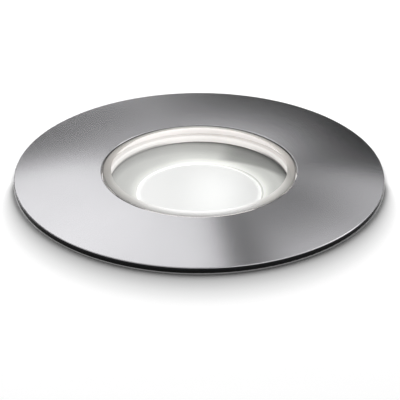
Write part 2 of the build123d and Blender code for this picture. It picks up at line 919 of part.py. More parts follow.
with BuildPart() as terminal_block:
    with BuildSketch(Plane.XY.offset(driver_board_bottom)):
        with Locations(terminal_place):
            Rectangle(terminal_width, terminal_depth)
    extrude(amount=-terminal_height)
    with BuildSketch(Plane.XY.offset(terminal_bottom)):
        with Locations(terminal_place):
            with GridLocations(terminal_pitch, 0, terminal_poles, 1):
                Circle(terminal_screw_radius + pin_clearance)
    extrude(amount=terminal_height / 2, mode=Mode.SUBTRACT)
    entry_height = driver_board_bottom - terminal_height * terminal_entry_share
    with BuildSketch(Plane.XZ.offset(terminal_depth / 2 - terminal_place[1])):
        with Locations((terminal_place[0], entry_height)):
            with GridLocations(terminal_pitch, 0, terminal_poles, 1):
                Circle(terminal_entry_radius)
    extrude(amount=-terminal_depth / 2, mode=Mode.SUBTRACT)

terminal_block.part.label = "terminal_block"
export_step(terminal_block.part, "parts/terminal_block.step")


terminal_screw_top = terminal_bottom + terminal_height / 2

with BuildPart() as terminal_screws:
    with BuildSketch(Plane.XY.offset(terminal_screw_top)):
        with Locations(terminal_place):
            with GridLocations(terminal_pitch, 0, terminal_poles, 1):
                Circle(terminal_screw_radius)
    extrude(amount=-terminal_screw_height)
    with BuildSketch(Plane.XY.offset(terminal_screw_top - terminal_screw_height)):
        with Locations(terminal_place):
            with GridLocations(terminal_pitch, 0, terminal_poles, 1):
                Rectangle(2 * terminal_screw_radius + overrun, terminal_slot_width)
    extrude(amount=terminal_slot_depth, mode=Mode.SUBTRACT)

terminal_screws.part.label = "terminal_screws"
export_step(terminal_screws.part, "parts/terminal_screws.step")


# Rear cover: screwed under the housing on an O-ring, with a spigot inside the driver cup

rear_screw_spots = PolarLocations(rear_screw_circle, rear_screw_count, rear_screw_start)

with BuildPart() as rear_cover:
    with BuildSketch(Plane.XY.offset(cover_bottom)):
        Circle(cover_radius)
    extrude(amount=cover_thickness)
    fillet(rear_cover.edges().group_by(Axis.Z)[0], radius=cover_edge_round)
    with BuildSketch(Plane.XY.offset(cover_top)):
        Circle(spigot_radius)
    extrude(amount=spigot_height)
    with BuildSketch(Plane.XY.offset(cover_top)):
        Circle(ring_circle + ring_section / 2 + ring_squeeze_gap)
        Circle(ring_circle - ring_section / 2 - ring_squeeze_gap, mode=Mode.SUBTRACT)
    extrude(amount=-groove_depth, mode=Mode.SUBTRACT)
    with BuildSketch(Plane.XY.offset(cover_bottom)):
        with rear_screw_spots:
            Circle(rear_screw_diameter / 2 + screw_clearance)
        Circle(gland_thread_radius + screw_clearance)
        with Locations((0, vent_offset)):
            Circle(vent_shank_radius)
    extrude(amount=cover_thickness + spigot_height, mode=Mode.SUBTRACT)

rear_cover.part.label = "rear_cover"
export_step(rear_cover.part, "parts/rear_cover.step")


with BuildPart() as rear_seal:
    with BuildSketch(Plane.XZ):
        with Locations((ring_circle, cover_top - groove_depth / 2)):
            Circle(ring_section / 2)
    revolve(axis=Axis.Z)

rear_seal.part.label = "rear_seal"
export_step(rear_seal.part, "parts/rear_seal.step")


rear_head_height = rear_screw_diameter * pan_height_share

with BuildPart() as rear_screws:
    with BuildSketch(Plane.XY.offset(cover_bottom)):
        with rear_screw_spots:
            Circle(rear_screw_diameter * pan_head_share)
    extrude(amount=-rear_head_height)
    with BuildSketch(Plane.XY.offset(cover_bottom)):
        with rear_screw_spots:
            Circle(rear_screw_diameter / 2)
    extrude(amount=cover_thickness + rear_screw_reach)
    with BuildSketch(Plane.XY.offset(cover_bottom - rear_head_height)):
        with rear_screw_spots:
            RegularPolygon(rear_screw_diameter * socket_share, 6)
    extrude(amount=rear_head_height, mode=Mode.SUBTRACT)

rear_screws.part.label = "rear_screws"
export_step(rear_screws.part, "parts/rear_screws.step")


# Cable gland in the middle of the rear cover

with BuildPart() as gland_body:
    with BuildSketch(Plane.XY.offset(gland_hex_bottom)):
        RegularPolygon(gland_hex / 2, 6, major_radius=False)
    extrude(amount=gland_hex_height)
    with BuildSketch(Plane.XY.offset(gland_washer_bottom)):
        Circle(gland_thread_radius)
    extrude(amount=gland_thread_top - gland_washer_bottom)
    with BuildSketch(Plane.XY.offset(gland_hex_bottom)):
        Circle(gland_skirt_radius)
    extrude(amount=-gland_skirt_length)
    with BuildSketch(Plane.XY.offset(gland_thread_top)):
        Circle(gland_bore_radius)
    extrude(amount=gland_skirt_bottom - gland_thread_top, mode=Mode.SUBTRACT)
    with BuildSketch(Plane.XY.offset(gland_skirt_bottom)):
        Circle(insert_radius)
    extrude(amount=insert_depth, mode=Mode.SUBTRACT)

gland_body.part.label = "gland_body"
export_step(gland_body.part, "parts/gland_body.step")


with BuildPart() as gland_washer:
    with BuildSketch(Plane.XY.offset(gland_washer_bottom)):
        Circle(gland_washer_radius)
        Circle(gland_thread_radius, mode=Mode.SUBTRACT)
    extrude(amount=gland_washer_thickness)

gland_washer.part.label = "gland_washer"
export_step(gland_washer.part, "parts/gland_washer.step")


with BuildPart() as gland_locknut:
    with BuildSketch(Plane.XY.offset(spigot_top)):
        RegularPolygon(locknut_hex / 2, 6, major_radius=False)
        Circle(gland_thread_radius + pin_clearance, mode=Mode.SUBTRACT)
    extrude(amount=locknut_height)

gland_locknut.part.label = "gland_locknut"
export_step(gland_locknut.part, "parts/gland_locknut.step")


with BuildPart() as gland_insert:
    with BuildSketch(Plane.XY.offset(insert_bottom)):
        Circle(insert_radius)
        Circle(insert_bore_radius, mode=Mode.SUBTRACT)
    extrude(amount=insert_length)
    fillet(gland_insert.edges().group_by(Axis.Z)[0].sort_by(SortBy.LENGTH)[-1], insert_wall / 2)

gland_insert.part.label = "gland_insert"
export_step(gland_insert.part, "parts/gland_insert.step")


gland_nut_inner_radius = gland_skirt_radius + pin_clearance

with BuildPart() as gland_nut:
    with BuildSketch(Plane.XY.offset(gland_nut_straight)):
        RegularPolygon(gland_hex / 2, 6, major_radius=False)
    extrude(amount=gland_nut_height)
    with BuildSketch(Plane.XZ):
        with BuildLine():
            dome_top = (gland_hex / 2, gland_nut_straight)
            dome_end = (gland_nut_mouth_radius + gland_nut_wall, gland_nut_bottom)
            Line((0, gland_nut_straight), dome_top)
            RadiusArc(dome_top, dome_end, -gland_hex / 2)
            Polyline(dome_end, (0, gland_nut_bottom), (0, gland_nut_straight))
        make_face()
    revolve(axis=Axis.Z)
    with BuildSketch(Plane.XZ):
        with BuildLine():
            Polyline(
                (0, gland_nut_top),
                (gland_nut_inner_radius, gland_nut_top),
                (gland_nut_inner_radius, gland_skirt_bottom - fit_gap),
                (insert_radius + fit_gap, insert_bottom - fit_gap),
                (gland_nut_mouth_radius, insert_bottom - fit_gap),
                (gland_nut_mouth_radius, gland_nut_bottom),
                (0, gland_nut_bottom),
                close=True,
            )
        make_face()
    revolve(axis=Axis.Z, mode=Mode.SUBTRACT)

gland_nut.part.label = "gland_nut"
export_step(gland_nut.part, "parts/gland_nut.step")


# Vent plug that lets the housing breathe

with BuildPart() as vent_plug:
    with BuildSketch(Plane.XY.offset(cover_bottom)):
        with Locations((0, vent_offset)):
            Circle(vent_head_radius)
    extrude(amount=-vent_head_height)
    fillet(vent_plug.edges().group_by(Axis.Z)[0], radius=vent_edge_round)
    with BuildSketch(Plane.XY.offset(cover_bottom)):
        with Locations((0, vent_offset)):
            Circle(vent_shank_radius)
    extrude(amount=cover_thickness + spigot_height)
    with BuildSketch(Plane.XY.offset(cover_bottom - vent_head_height)):
        with Locations((0, vent_offset)):
            Rectangle(2 * vent_head_radius + overrun, vent_slot_width)
    extrude(amount=vent_slot_depth, mode=Mode.SUBTRACT)

vent_plug.part.label = "vent_plug"
export_step(vent_plug.part, "parts/vent_plug.step")


# Spring levers. The right one is modelled, and the left one is the same turned half round.

bracket_plane = Plane(origin=(boss_face, 0, clip_pivot_height), x_dir=(0, 1, 0), z_dir=(1, 0, 0))
bracket_plate_height = bracket_top + bracket_foot
bracket_plate_middle = (bracket_top - bracket_foot) / 2
bracket_screw_spots = [(bracket_screw_spacing / 2, -bracket_screw_drop)]
bracket_screw_spots.append((-bracket_screw_spacing / 2, -bracket_screw_drop))
pivot_in_plane = (clip_pivot_x, clip_pivot_height)

with BuildPart() as clip_bracket:
    with BuildSketch(bracket_plane):
        with Locations((0, bracket_plate_middle)):
            RectangleRounded(2 * bracket_half, bracket_plate_height, bracket_corner_round)
        with Locations(*bracket_screw_spots):
            Circle(bracket_screw_diameter / 2 + screw_clearance, mode=Mode.SUBTRACT)
    extrude(amount=bracket_sheet)
    for face_y in (bracket_inner_half, -bracket_half):
        with BuildSketch(Plane.XZ.offset(-face_y)):
            with Locations(pivot_in_plane):
                Circle(bracket_ear_radius)
            with Locations(((boss_face + clip_pivot_x) / 2, clip_pivot_height)):
                Rectangle(clip_pivot_x - boss_face, 2 * bracket_ear_radius)
            with Locations(pivot_in_plane):
                Circle(clip_pin_radius + pin_clearance, mode=Mode.SUBTRACT)
        extrude(amount=-bracket_sheet)

with BuildPart() as clip_bracket_screws:
    with BuildSketch(bracket_plane.offset(bracket_sheet)):
        with Locations(*bracket_screw_spots):
            Circle(bracket_screw_diameter * pan_head_share)
    extrude(amount=bracket_screw_diameter * pan_height_share)
    with BuildSketch(bracket_plane.offset(bracket_sheet)):
        with Locations(*bracket_screw_spots):
            Circle(bracket_screw_diameter / 2)
    extrude(amount=-bracket_sheet - bracket_screw_bite)

with BuildPart() as clip_pin:
    with BuildSketch(Plane.XZ):
        with Locations(pivot_in_plane):
            Circle(clip_pin_radius)
    extrude(amount=bracket_half, both=True)
    for outward_y, way in ((bracket_half, -1), (-bracket_half, 1)):
        with BuildSketch(Plane.XZ.offset(-outward_y)):
            with Locations(pivot_in_plane):
                Circle(clip_pin_head_radius)
        extrude(amount=way * clip_pin_head_height)


# Lever: a strip with two ears that turn on the pin, and a curled tip that rides on the sleeve

web_middle_x = (web_inner_x + web_outer_x) / 2
web_foot = (web_middle_x, clip_pivot_height - lever_foot)
web_bend = (web_middle_x, clip_pivot_height + lever_straight_top)
web_tip = (tip_outer_x - clip_sheet / 2, tip_z)

with BuildPart() as clip_lever:
    with BuildSketch(Plane.XZ):
        with BuildLine():
            Polyline(web_foot, web_bend, web_tip)
            leaning = (web_tip[0] - web_bend[0], web_tip[1] - web_bend[1])
            JernArc(web_tip, leaning, lever_curl_radius, lever_curl_angle)
        trace(line_width=clip_sheet)
    extrude(amount=lever_half, both=True)
    for face_y in (lever_half - clip_sheet, -lever_half):
        with BuildSketch(Plane.XZ.offset(-face_y)):
            with BuildLine():
                CenterArc(pivot_in_plane, lever_ear_radius, 0, 360)
                Line(web_foot, (web_middle_x, clip_pivot_height + lever_ear_top))
            make_hull()
            with Locations(pivot_in_plane):
                Circle(clip_pin_radius + pin_clearance, mode=Mode.SUBTRACT)
        extrude(amount=-clip_sheet)


# Torsion spring: a coil round the pin, one leg on the bracket and one on the lever

spring_length = spring_pitch * spring_turns

with BuildPart() as wound_spring:
    with BuildLine() as coil_path:
        Helix(pitch=spring_pitch, height=spring_length, radius=coil_radius)
    with BuildSketch(Plane(origin=coil_path.line @ 0, z_dir=coil_path.line % 0)):
        Circle(spring_wire / 2)
    sweep(is_frenet=True)
    leg_feet = ((coil_radius, 0, 0), (-coil_radius, 0, spring_length))
    with Locations(*leg_feet):
        Sphere(spring_wire / 2 * spring_bend_share)
    for foot in leg_feet:
        with BuildSketch(Plane(origin=foot, z_dir=(0, -1, 0))):
            Circle(spring_wire / 2)
        extrude(amount=spring_leg)

with BuildPart() as clip_spring:
    with Locations((clip_pivot_x, -spring_length / 2, clip_pivot_height)):
        add(wound_spring.part, rotation=(-90, 0, 0))

clip_pieces = {
    "clip_bracket": clip_bracket,
    "clip_bracket_screws": clip_bracket_screws,
    "clip_pin": clip_pin,
    "clip_lever": clip_lever,
    "clip_spring": clip_spring,
}
for piece_name, piece in clip_pieces.items():
    for side, turn in clip_sides:
        with BuildPart() as placed:
            add(piece.part, rotation=(0, 0, turn))
        placed.part.label = f"{piece_name}_{side}"
        export_step(placed.part, f"parts/{piece_name}_{side}.step")


# Sleeve that stays in the ground, with its base plate

with BuildPart() as mounting_sleeve:
    with BuildSketch(Plane.XZ):
        with BuildLine():
            Polyline(
                (sleeve_outer_radius, sleeve_bottom),
                (sleeve_outer_radius, sleeve_top - sleeve_collar_height),
                (collar_radius, sleeve_top - sleeve_collar_height),
                (collar_radius, sleeve_top),
                (sleeve_inner_radius, sleeve_top),
                (sleeve_inner_radius, base_top),
                (sleeve_seat_radius, base_top),
                (sleeve_seat_radius, sleeve_bottom),
                close=True,
            )
        make_face()
    revolve(axis=Axis.Z)
    mouth = mounting_sleeve.edges().group_by(Axis.Z)[-1].sort_by(SortBy.LENGTH)[0]
    chamfer(mouth, length=sleeve_mouth_chamfer)

    # below the plain band the wall is thinner, with upright ribs and a hoop in the middle
    ribbed_top = sleeve_top - sleeve_collar_height - sleeve_band_height
    ribbed_bottom = sleeve_bottom + sleeve_hoop_height
    hoop_middle = ribbed_top + (ribbed_bottom - ribbed_top) * sleeve_hoop_share
    hoop_faces = (hoop_middle + sleeve_hoop_height / 2, hoop_middle - sleeve_hoop_height / 2)
    thin_radius = sleeve_outer_radius - sleeve_recess
    for top, bottom in ((ribbed_top, hoop_faces[0]), (hoop_faces[1], ribbed_bottom)):
        with BuildSketch(Plane.XY.offset(bottom)):
            Circle(sleeve_outer_radius + overrun)
            Circle(thin_radius, mode=Mode.SUBTRACT)
            with PolarLocations(thin_radius, sleeve_rib_count, rib_start):
                Rectangle(2 * (sleeve_recess + overrun), sleeve_rib_width, mode=Mode.SUBTRACT)
        extrude(amount=top - bottom, mode=Mode.SUBTRACT)

    # round knock-outs for cables that come from the side
    knockout_height = (ribbed_bottom + hoop_faces[1]) / 2
    for facing in (1, -1):
        side_plane = Plane(origin=(0, 0, 0), x_dir=(facing, 0, 0), z_dir=(0, -facing, 0))
        with BuildSketch(side_plane.offset(thin_radius - knockout_depth)):
            with Locations((0, knockout_height)):
                Circle(knockout_radius)
                Circle(knockout_radius - knockout_groove, mode=Mode.SUBTRACT)
        extrude(amount=sleeve_recess + overrun, mode=Mode.SUBTRACT)

mounting_sleeve.part.label = "mounting_sleeve"
export_step(mounting_sleeve.part, "parts/mounting_sleeve.step")


entry_places = [
    (entry_offset * math.cos(math.radians(turn)), 0)
    for side, turn in clip_sides
]

with BuildPart() as sleeve_base:
    with BuildSketch(Plane.XY.offset(base_bottom)):
        Circle(base_radius)
        with Locations(*entry_places):
            Circle(entry_hole_radius, mode=Mode.SUBTRACT)
        with PolarLocations(base_radius * drain_circle_share, drain_count, drain_start):
            Circle(drain_radius, mode=Mode.SUBTRACT)
    extrude(amount=base_thickness)
    with BuildSketch(Plane.XY.offset(base_bottom)):
        Circle(base_radius)
        Circle(base_radius - base_ring_width, mode=Mode.SUBTRACT)
        Circle(base_hub_radius)
        with PolarLocations(0, base_rib_count, base_rib_start):
            with Locations((base_radius / 2, 0)):
                Rectangle(base_radius - base_ring_width, base_rib_width)
    extrude(amount=-base_rib_height)
    with BuildSketch(Plane.XY.offset(base_top)):
        Circle(base_drain_radius)
    extrude(amount=-base_thickness - base_rib_height, mode=Mode.SUBTRACT)

sleeve_base.part.label = "sleeve_base"
export_step(sleeve_base.part, "parts/sleeve_base.step")


entry_length = base_thickness + 2 * entry_flange_height

for place, side_turn in zip(entry_places, clip_sides):
    with BuildPart() as entry_grommet:
        with BuildSketch(Plane.XY.offset(base_top + entry_flange_height)):
            with Locations(place):
                Circle(entry_hole_radius)
        extrude(amount=-entry_length)
        with BuildSketch(Plane.XY.offset(base_top)):
            with Locations(place):
                Circle(entry_flange_radius)
        extrude(amount=entry_flange_height)
        with BuildSketch(Plane.XY.offset(base_bottom)):
            with Locations(place):
                Circle(entry_flange_radius)
        extrude(amount=-entry_flange_height)
        with BuildSketch(Plane.XY.offset(base_top + entry_flange_height)):
            with Locations(place):
                Circle(entry_bore_radius)
        extrude(amount=-entry_length, mode=Mode.SUBTRACT)
    entry_grommet.part.label = f"entry_grommet_{side_turn[0]}"
    export_step(entry_grommet.part, f"parts/entry_grommet_{side_turn[0]}.step")
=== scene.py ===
# %% [markdown]
# # A recessed ground light
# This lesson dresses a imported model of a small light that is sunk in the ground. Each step
# below makes one piece or one finish. Sizes are named in millimetres and turned into
# metres where they are used.

# %% Load the frame
import bpy
import bmesh
import json
import math
from mathutils import Matrix, Vector


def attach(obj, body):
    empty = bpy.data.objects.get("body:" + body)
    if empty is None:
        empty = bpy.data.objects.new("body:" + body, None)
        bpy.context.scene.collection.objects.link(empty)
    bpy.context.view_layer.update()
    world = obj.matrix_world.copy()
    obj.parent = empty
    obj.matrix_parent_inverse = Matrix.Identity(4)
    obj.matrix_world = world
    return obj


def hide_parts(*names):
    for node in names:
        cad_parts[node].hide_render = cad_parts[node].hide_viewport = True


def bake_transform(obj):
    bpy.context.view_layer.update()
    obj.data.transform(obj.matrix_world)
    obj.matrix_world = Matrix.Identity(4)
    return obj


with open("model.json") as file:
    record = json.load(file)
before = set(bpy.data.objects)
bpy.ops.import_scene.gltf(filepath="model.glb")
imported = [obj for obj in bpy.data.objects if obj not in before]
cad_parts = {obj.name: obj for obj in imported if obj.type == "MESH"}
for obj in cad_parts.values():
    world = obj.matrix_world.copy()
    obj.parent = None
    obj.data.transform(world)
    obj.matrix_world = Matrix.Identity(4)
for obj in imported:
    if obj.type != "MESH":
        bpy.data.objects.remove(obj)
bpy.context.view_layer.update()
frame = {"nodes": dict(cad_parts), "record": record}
nodes = frame["nodes"]
mm = 0.001
per_metre = 1000.0

# %% [markdown]
# The camera stands where the photographer's did: about 28 degrees above the ground and
# 800 mm from the middle of the light, with a long lens that sees 8 degrees. It is aimed at
# a point in front of the middle, so it needs no shift.

# %% Make the camera
camera_place = (0, -705.47, 379.24)
aim_point = (0.239, -15.413, 2.0)
camera_data = bpy.data.cameras.new("camera")
camera_data.sensor_width = 36.0
camera_data.lens = 242.46
camera_data.clip_start = 0.01
camera_data.clip_end = 20.0
camera = bpy.data.objects.new("camera", camera_data)
bpy.context.scene.collection.objects.link(camera)
camera.location = Vector(camera_place) * mm
look = Vector(aim_point) * mm - camera.location
camera.rotation_euler = look.to_track_quat("-Z", "Y").to_euler()
bpy.context.scene.camera = camera
bpy.context.scene.view_settings.view_transform = "Standard"
print("camera at", [round(value, 4) for value in camera.location])

# %% [markdown]
# The sizes that several pieces share, in millimetres. The face of the flange is a shallow
# dome, an arc that is level at the hole and falls towards the rim.

# %% Name the shared sizes
flange_radius = 55.0
flange_hole_radius = 29.0
flange_bottom = 1.0
rim_top = 2.0
crown = 3.84
glass_radius = 28.65
glass_top = 4.29
glass_bottom = -3.71
bevel_width = 2.5
bevel_start = crown - 0.1
seal_bottom = -5.66
disc_radius = 18.4
disc_top = -8.76
board_top = -12.16
sides = (("right", 0), ("left", 180))
print("the glass is", round(glass_top - glass_bottom, 2), "mm thick")


# %% [markdown]
# Helpers for the node trees. `new_node` makes a node and fills its inputs in one go. An
# input takes a plain value, an output, or a whole node, which stands for its first output.

# %% Write the helpers for node trees
def give(tree, value, entry):
    """Fills one input with a plain value, an output, or the first output of a node."""
    if isinstance(value, bpy.types.Node):
        value = next(output for output in value.outputs if output.enabled)
    if isinstance(value, bpy.types.NodeSocket):
        tree.links.new(value, entry)
    else:
        entry.default_value = value


def fill(tree, node, **values):
    """Fills inputs of a node by name; an underscore stands for a space."""
    for name, value in values.items():
        give(tree, value, node.inputs[name.replace("_", " ")])


def new_node(tree, kind, *entries, **values):
    """A node of a tree: entries fill its first inputs, values its properties or inputs."""
    node = tree.nodes.new("ShaderNode" + kind)
    for name, value in values.items():
        if hasattr(node, name) and name not in node.inputs:
            setattr(node, name, value)
        else:
            fill(tree, node, **{name: value})
    for number, entry in enumerate(entries):
        give(tree, entry, node.inputs[number])
    return node


print("helpers for node trees are ready")


# %% [markdown]
# Some nodes come back everywhere, so each gets a short name of its own: an operation on
# values or on vectors, a product, a colour times a factor, a blend of two colours, a change
# of range, and a ramp of greys.

# %% Name the nodes that come back most
def calculate(tree, operation, *entries, **more):
    """A Math node: the result of an operation on values."""
    return new_node(tree, "Math", *entries, operation=operation, **more)


def on_vectors(tree, operation, *entries, **more):
    """A Vector Math node: the result of an operation on vectors."""
    return new_node(tree, "VectorMath", *entries, operation=operation, **more)


def times(tree, first, second):
    """The product of two values."""
    return calculate(tree, "MULTIPLY", first, second)


def tinted(tree, color, factor):
    """A colour multiplied by a second colour or by a value."""
    return new_node(
        tree, "Mix", data_type="RGBA", blend_type="MULTIPLY", Factor=1.0, A=color, B=factor
    )


def blended(tree, share, first, second):
    """The first colour where the share is nothing, and the second where it is one."""
    return new_node(tree, "Mix", data_type="RGBA", Factor=share, A=first, B=second)


def remap(tree, value, start, end, low=0.0, high=1.0, smooth=False):
    """A value taken from one range to another, evenly or with soft ends."""
    return new_node(
        tree, "MapRange", interpolation_type="SMOOTHSTEP" if smooth else "LINEAR",
        Value=value, From_Min=start, From_Max=end, To_Min=low, To_Max=high,
    )


def grey_ramp(tree, value, stops):
    """A ramp of greys; the stops are (position, grey) pairs from position 0 to 1."""
    ramp = new_node(tree, "ValToRGB", Fac=value)
    marks = ramp.color_ramp.elements
    for position, grey in stops[1:-1]:
        marks.new(position)
    for mark, (position, grey) in zip(marks, stops):
        mark.color = (grey, grey, grey, 1)
    return ramp


print("the common nodes have names")


# %% [markdown]
# Every effect is laid out in the object's own coordinates, so it stays on the object. The
# light is round, so most effects need a point's place without its height, or its direction
# from the axis.

# %% Write the helpers for places
def object_place(tree):
    """The place of a point in the object's own coordinates."""
    return new_node(tree, "TexCoord").outputs["Object"]


def flattened(tree, source="Object"):
    """The place of a point with its height left out."""
    place = new_node(tree, "TexCoord").outputs[source]
    return on_vectors(tree, "MULTIPLY", place, (1, 1, 0))


def heading(tree, source="Object"):
    """The direction from the axis to a point, level and one long."""
    return on_vectors(tree, "NORMALIZE", flattened(tree, source))


def part_of(tree, vector, letter):
    """The X, Y or Z of a vector."""
    return new_node(tree, "SeparateXYZ", vector).outputs[letter]


def new_group(name, defaults, outputs):
    """An empty shader node group, from its inputs with their defaults and its outputs.

    A socket that is called "Color" holds a colour, and any other one a number.
    """
    group = bpy.data.node_groups.new(name, "ShaderNodeTree")
    for side, labels in (("INPUT", defaults), ("OUTPUT", outputs)):
        for label in labels:
            kind = "NodeSocketColor" if label == "Color" else "NodeSocketFloat"
            socket = group.interface.new_socket(label, in_out=side, socket_type=kind)
            if side == "INPUT":
                socket.default_value = defaults[label]
    enter = group.nodes.new("NodeGroupInput").outputs
    leave = group.nodes.new("NodeGroupOutput")
    return group, enter, leave


def place_group(tree, group, **values):
    """Puts a group into a tree and fills its inputs."""
    return new_node(tree, "Group", node_tree=group, **values)


print("helpers for places and groups are ready")

# %% [markdown]
# Four effects come back in most finishes, so each is a group that is built once. `grain`
# gives a height and a mask from fine noise, as on cast or moulded surfaces. `mottle` makes a
# colour slightly lighter and darker in patches. `rings` gives fine circles round the light's
# axis, as turning and circular brushing leave them. `reach` gives a point's distance from
# that axis and its height, in millimetres.

# %% Build the shared effects
grain, enter, leave = new_group("grain", {"Size": 0.5, "Rough": 0.6}, ["Height", "Mask"])
speck = new_node(
    grain, "TexNoise", Vector=object_place(grain), Roughness=enter["Rough"], Detail=4.0,
    Scale=calculate(grain, "DIVIDE", per_metre, enter["Size"]),
)
fill(grain, leave, Height=speck, Mask=remap(grain, speck, 0.35, 0.65))

mottle, enter, leave = new_group(
    "mottle", {"Color": (0.5, 0.5, 0.5, 1), "Size": 8.0, "Amount": 0.1}, ["Color"]
)
patches = place_group(mottle, grain, Size=enter["Size"])
darkest = calculate(mottle, "SUBTRACT", 1.0, enter["Amount"])
level = remap(mottle, patches.outputs["Mask"], 0.0, 1.0, low=darkest)
fill(mottle, leave, Color=tinted(mottle, enter["Color"], level))

rings, enter, leave = new_group(
    "rings", {"Spacing": 0.2, "Waver": 0.5}, ["Height", "Mask"]
)
radius = on_vectors(rings, "LENGTH", flattened(rings))
count = calculate(rings, "DIVIDE", per_metre, enter["Spacing"])
climb = new_node(rings, "CombineXYZ", Z=times(rings, radius, count))
swing = on_vectors(rings, "SCALE", heading(rings), Scale=enter["Waver"])
scratch = new_node(
    rings, "TexNoise", Scale=1.0, Detail=3.0, Roughness=0.7,
    Vector=on_vectors(rings, "ADD", swing, climb),
)
fill(rings, leave, Height=scratch, Mask=remap(rings, scratch, 0.3, 0.7))

reach, enter, leave = new_group("reach", {}, ["Radius", "Height"])
radius = on_vectors(reach, "LENGTH", flattened(reach))
height = part_of(reach, object_place(reach), "Z")
fill(
    reach, leave, Radius=times(reach, radius, per_metre),
    Height=times(reach, height, per_metre),
)
print("node groups:", [group.name for group in bpy.data.node_groups])


# %% [markdown]
# Small helpers use the groups: one gives a finish its relief, one its uneven tone, one its
# uneven gloss, one lets a value change with the distance from the axis, and one picks out
# the part of a ring that lies towards one side.

# %% Write the helpers that place the effects
def reach_of(tree, output):
    """A point's distance from the axis ("Radius") or its "Height", in millimetres."""
    return place_group(tree, reach).outputs[output]


def add_relief(tree, shader, source, depth, strength=1.0):
    """Joins a group's height to the shader's normal; depth is in millimetres."""
    bump = new_node(
        tree, "Bump", Strength=strength, Distance=depth * mm, Height=source.outputs["Height"]
    )
    fill(tree, shader, Normal=bump)
    return bump


def add_tone(tree, shader, size, amount):
    """Makes the shader's own base colour uneven in patches of that size, in millimetres."""
    color = tuple(shader.inputs["Base Color"].default_value)
    tone = place_group(tree, mottle, Color=color, Size=size, Amount=amount)
    fill(tree, shader, Base_Color=tone)


def add_rough_range(tree, shader, source, low, high):
    """Lets a group's mask move the roughness between two values."""
    fill(tree, shader, Roughness=remap(tree, source.outputs["Mask"], 0.0, 1.0, low, high))


def radial_ramp(tree, stops, output="Radius"):
    """A grey ramp along the radius or the height; stops are (millimetres, grey) pairs."""
    first, last = stops[0][0], stops[-1][0]
    span = remap(tree, reach_of(tree, output), first, last)
    return grey_ramp(tree, span, [
        ((distance - first) / (last - first), grey) for distance, grey in stops
    ])


def wedge_mask(tree, azimuth, start, full=1.0):
    """A mask round the axis: one near an azimuth in degrees, nothing far from it.

    Start and full are the cosines of the angles to the azimuth where it begins and is full.
    """
    angle = math.radians(azimuth)
    middle = (math.cos(angle), math.sin(angle), 0)
    toward = on_vectors(tree, "DOT_PRODUCT", heading(tree), middle)
    return remap(tree, toward, start, full, smooth=True)


print("helpers for effects are ready")


# %% [markdown]
# A finish is a Principled shader. Three helpers make the common ones: any finish, a
# moulded or cast one, and the steel of small parts. Every finish goes into one table.

# %% Write the helpers for finishes
finishes = {}
patch_of_grains = 12  # the tone of a moulded piece changes over this many grains


def new_finish(name, color, roughness, metallic=0.0, **more):
    """A material with one Principled shader; returns its tree and the shader."""
    material = bpy.data.materials.new(name)
    material.use_nodes = True
    tree = material.node_tree
    shader = tree.nodes["Principled BSDF"]
    fill(tree, shader, Base_Color=(*color, 1), Roughness=roughness, Metallic=metallic, **more)
    finishes[name] = material
    return tree, shader


def moulded_finish(name, color, roughness, grain_size, grain_depth, amount=0.15, **more):
    """A plastic, rubber or cast finish: fine grain, uneven tone and gloss."""
    tree, shader = new_finish(name, color, roughness, **more)
    speckle = place_group(tree, grain, Size=grain_size, Rough=0.65)
    add_relief(tree, shader, speckle, grain_depth)
    add_tone(tree, shader, grain_size * patch_of_grains, amount)
    add_rough_range(tree, shader, speckle, roughness - 0.06, min(1.0, roughness + 0.08))
    return tree, shader


def steel_finish(name, color, roughness, grain_size, rough, grain_depth, patch):
    """The steel of small parts: fine marks, and slightly uneven tone and gloss."""
    tree, shader = new_finish(name, color, roughness, 1.0)
    marks = place_group(tree, grain, Size=grain_size, Rough=rough)
    add_relief(tree, shader, marks, grain_depth, 0.3)
    add_tone(tree, shader, patch, 0.08)
    add_rough_range(tree, shader, marks, 0.26, 0.38)


def tint_base(tree, shader, factor):
    """Multiplies the base colour of a finish, however it is made, by a value."""
    source = shader.inputs["Base Color"].links[0].from_socket
    fill(tree, shader, Base_Color=tinted(tree, source, factor))


print("helpers for finishes are ready")

# %% [markdown]
# The flange is stainless steel, brushed in circles. Each brushed line mirrors light sharply
# along itself and wide across itself, which gives a turned disc its bright and dark wedges.
# The shader's anisotropy does that, with tangents that run round the axis. The flanks of
# the brushed lines lean outwards by about five degrees, so the normal leans with them. The
# plate's edge is nearly black. Its outer part at the back on the right is darker, as in the
# photograph: a painted shade in the base colour that stands for a dark part of the room.

# %% Make the brushed steel
steel_color = (0.63, 0.625, 0.645)
edge_color = (0.03, 0.03, 0.032, 1)
lean_of_lines = 0.0875
dark_azimuth = 55
dark_inner_radius = 30.8
dark_share = 0.12
tree, shader = new_finish(
    "brushed_steel", steel_color, 0.26, 1.0, Anisotropic=0.89, Anisotropic_Rotation=0.25
)
fill(tree, shader, Tangent=new_node(tree, "Tangent", direction_type="RADIAL", axis="Z"))
brush = place_group(tree, rings, Spacing=0.16, Waver=1.5)
relief = add_relief(tree, shader, brush, 0.0015, 0.3)
facing = new_node(tree, "NewGeometry").outputs["Normal"]
lean = on_vectors(tree, "SCALE", heading(tree), Scale=lean_of_lines)
tilted = on_vectors(tree, "ADD", facing, lean)
fill(tree, relief, Normal=on_vectors(tree, "NORMALIZE", tilted))
on_face = remap(tree, part_of(tree, facing, "Z"), 0.25, 0.6, smooth=True)
tone = place_group(tree, mottle, Color=(*steel_color, 1), Size=30.0, Amount=0.04)
edged = blended(tree, on_face, edge_color, tone)
# painted shade: the outer part at the back on the right is darkened in the base colour
wedge = wedge_mask(tree, dark_azimuth, 0.5)
outer_part = remap(tree, reach_of(tree, "Radius"), dark_inner_radius, flange_radius)
corner = times(tree, wedge, outer_part)
painted_shade = remap(tree, corner, 0.0, 1.0, 1.0, dark_share)
fill(tree, shader, Base_Color=tinted(tree, edged, painted_shade))
print("brushed steel:", len(tree.nodes), "nodes")
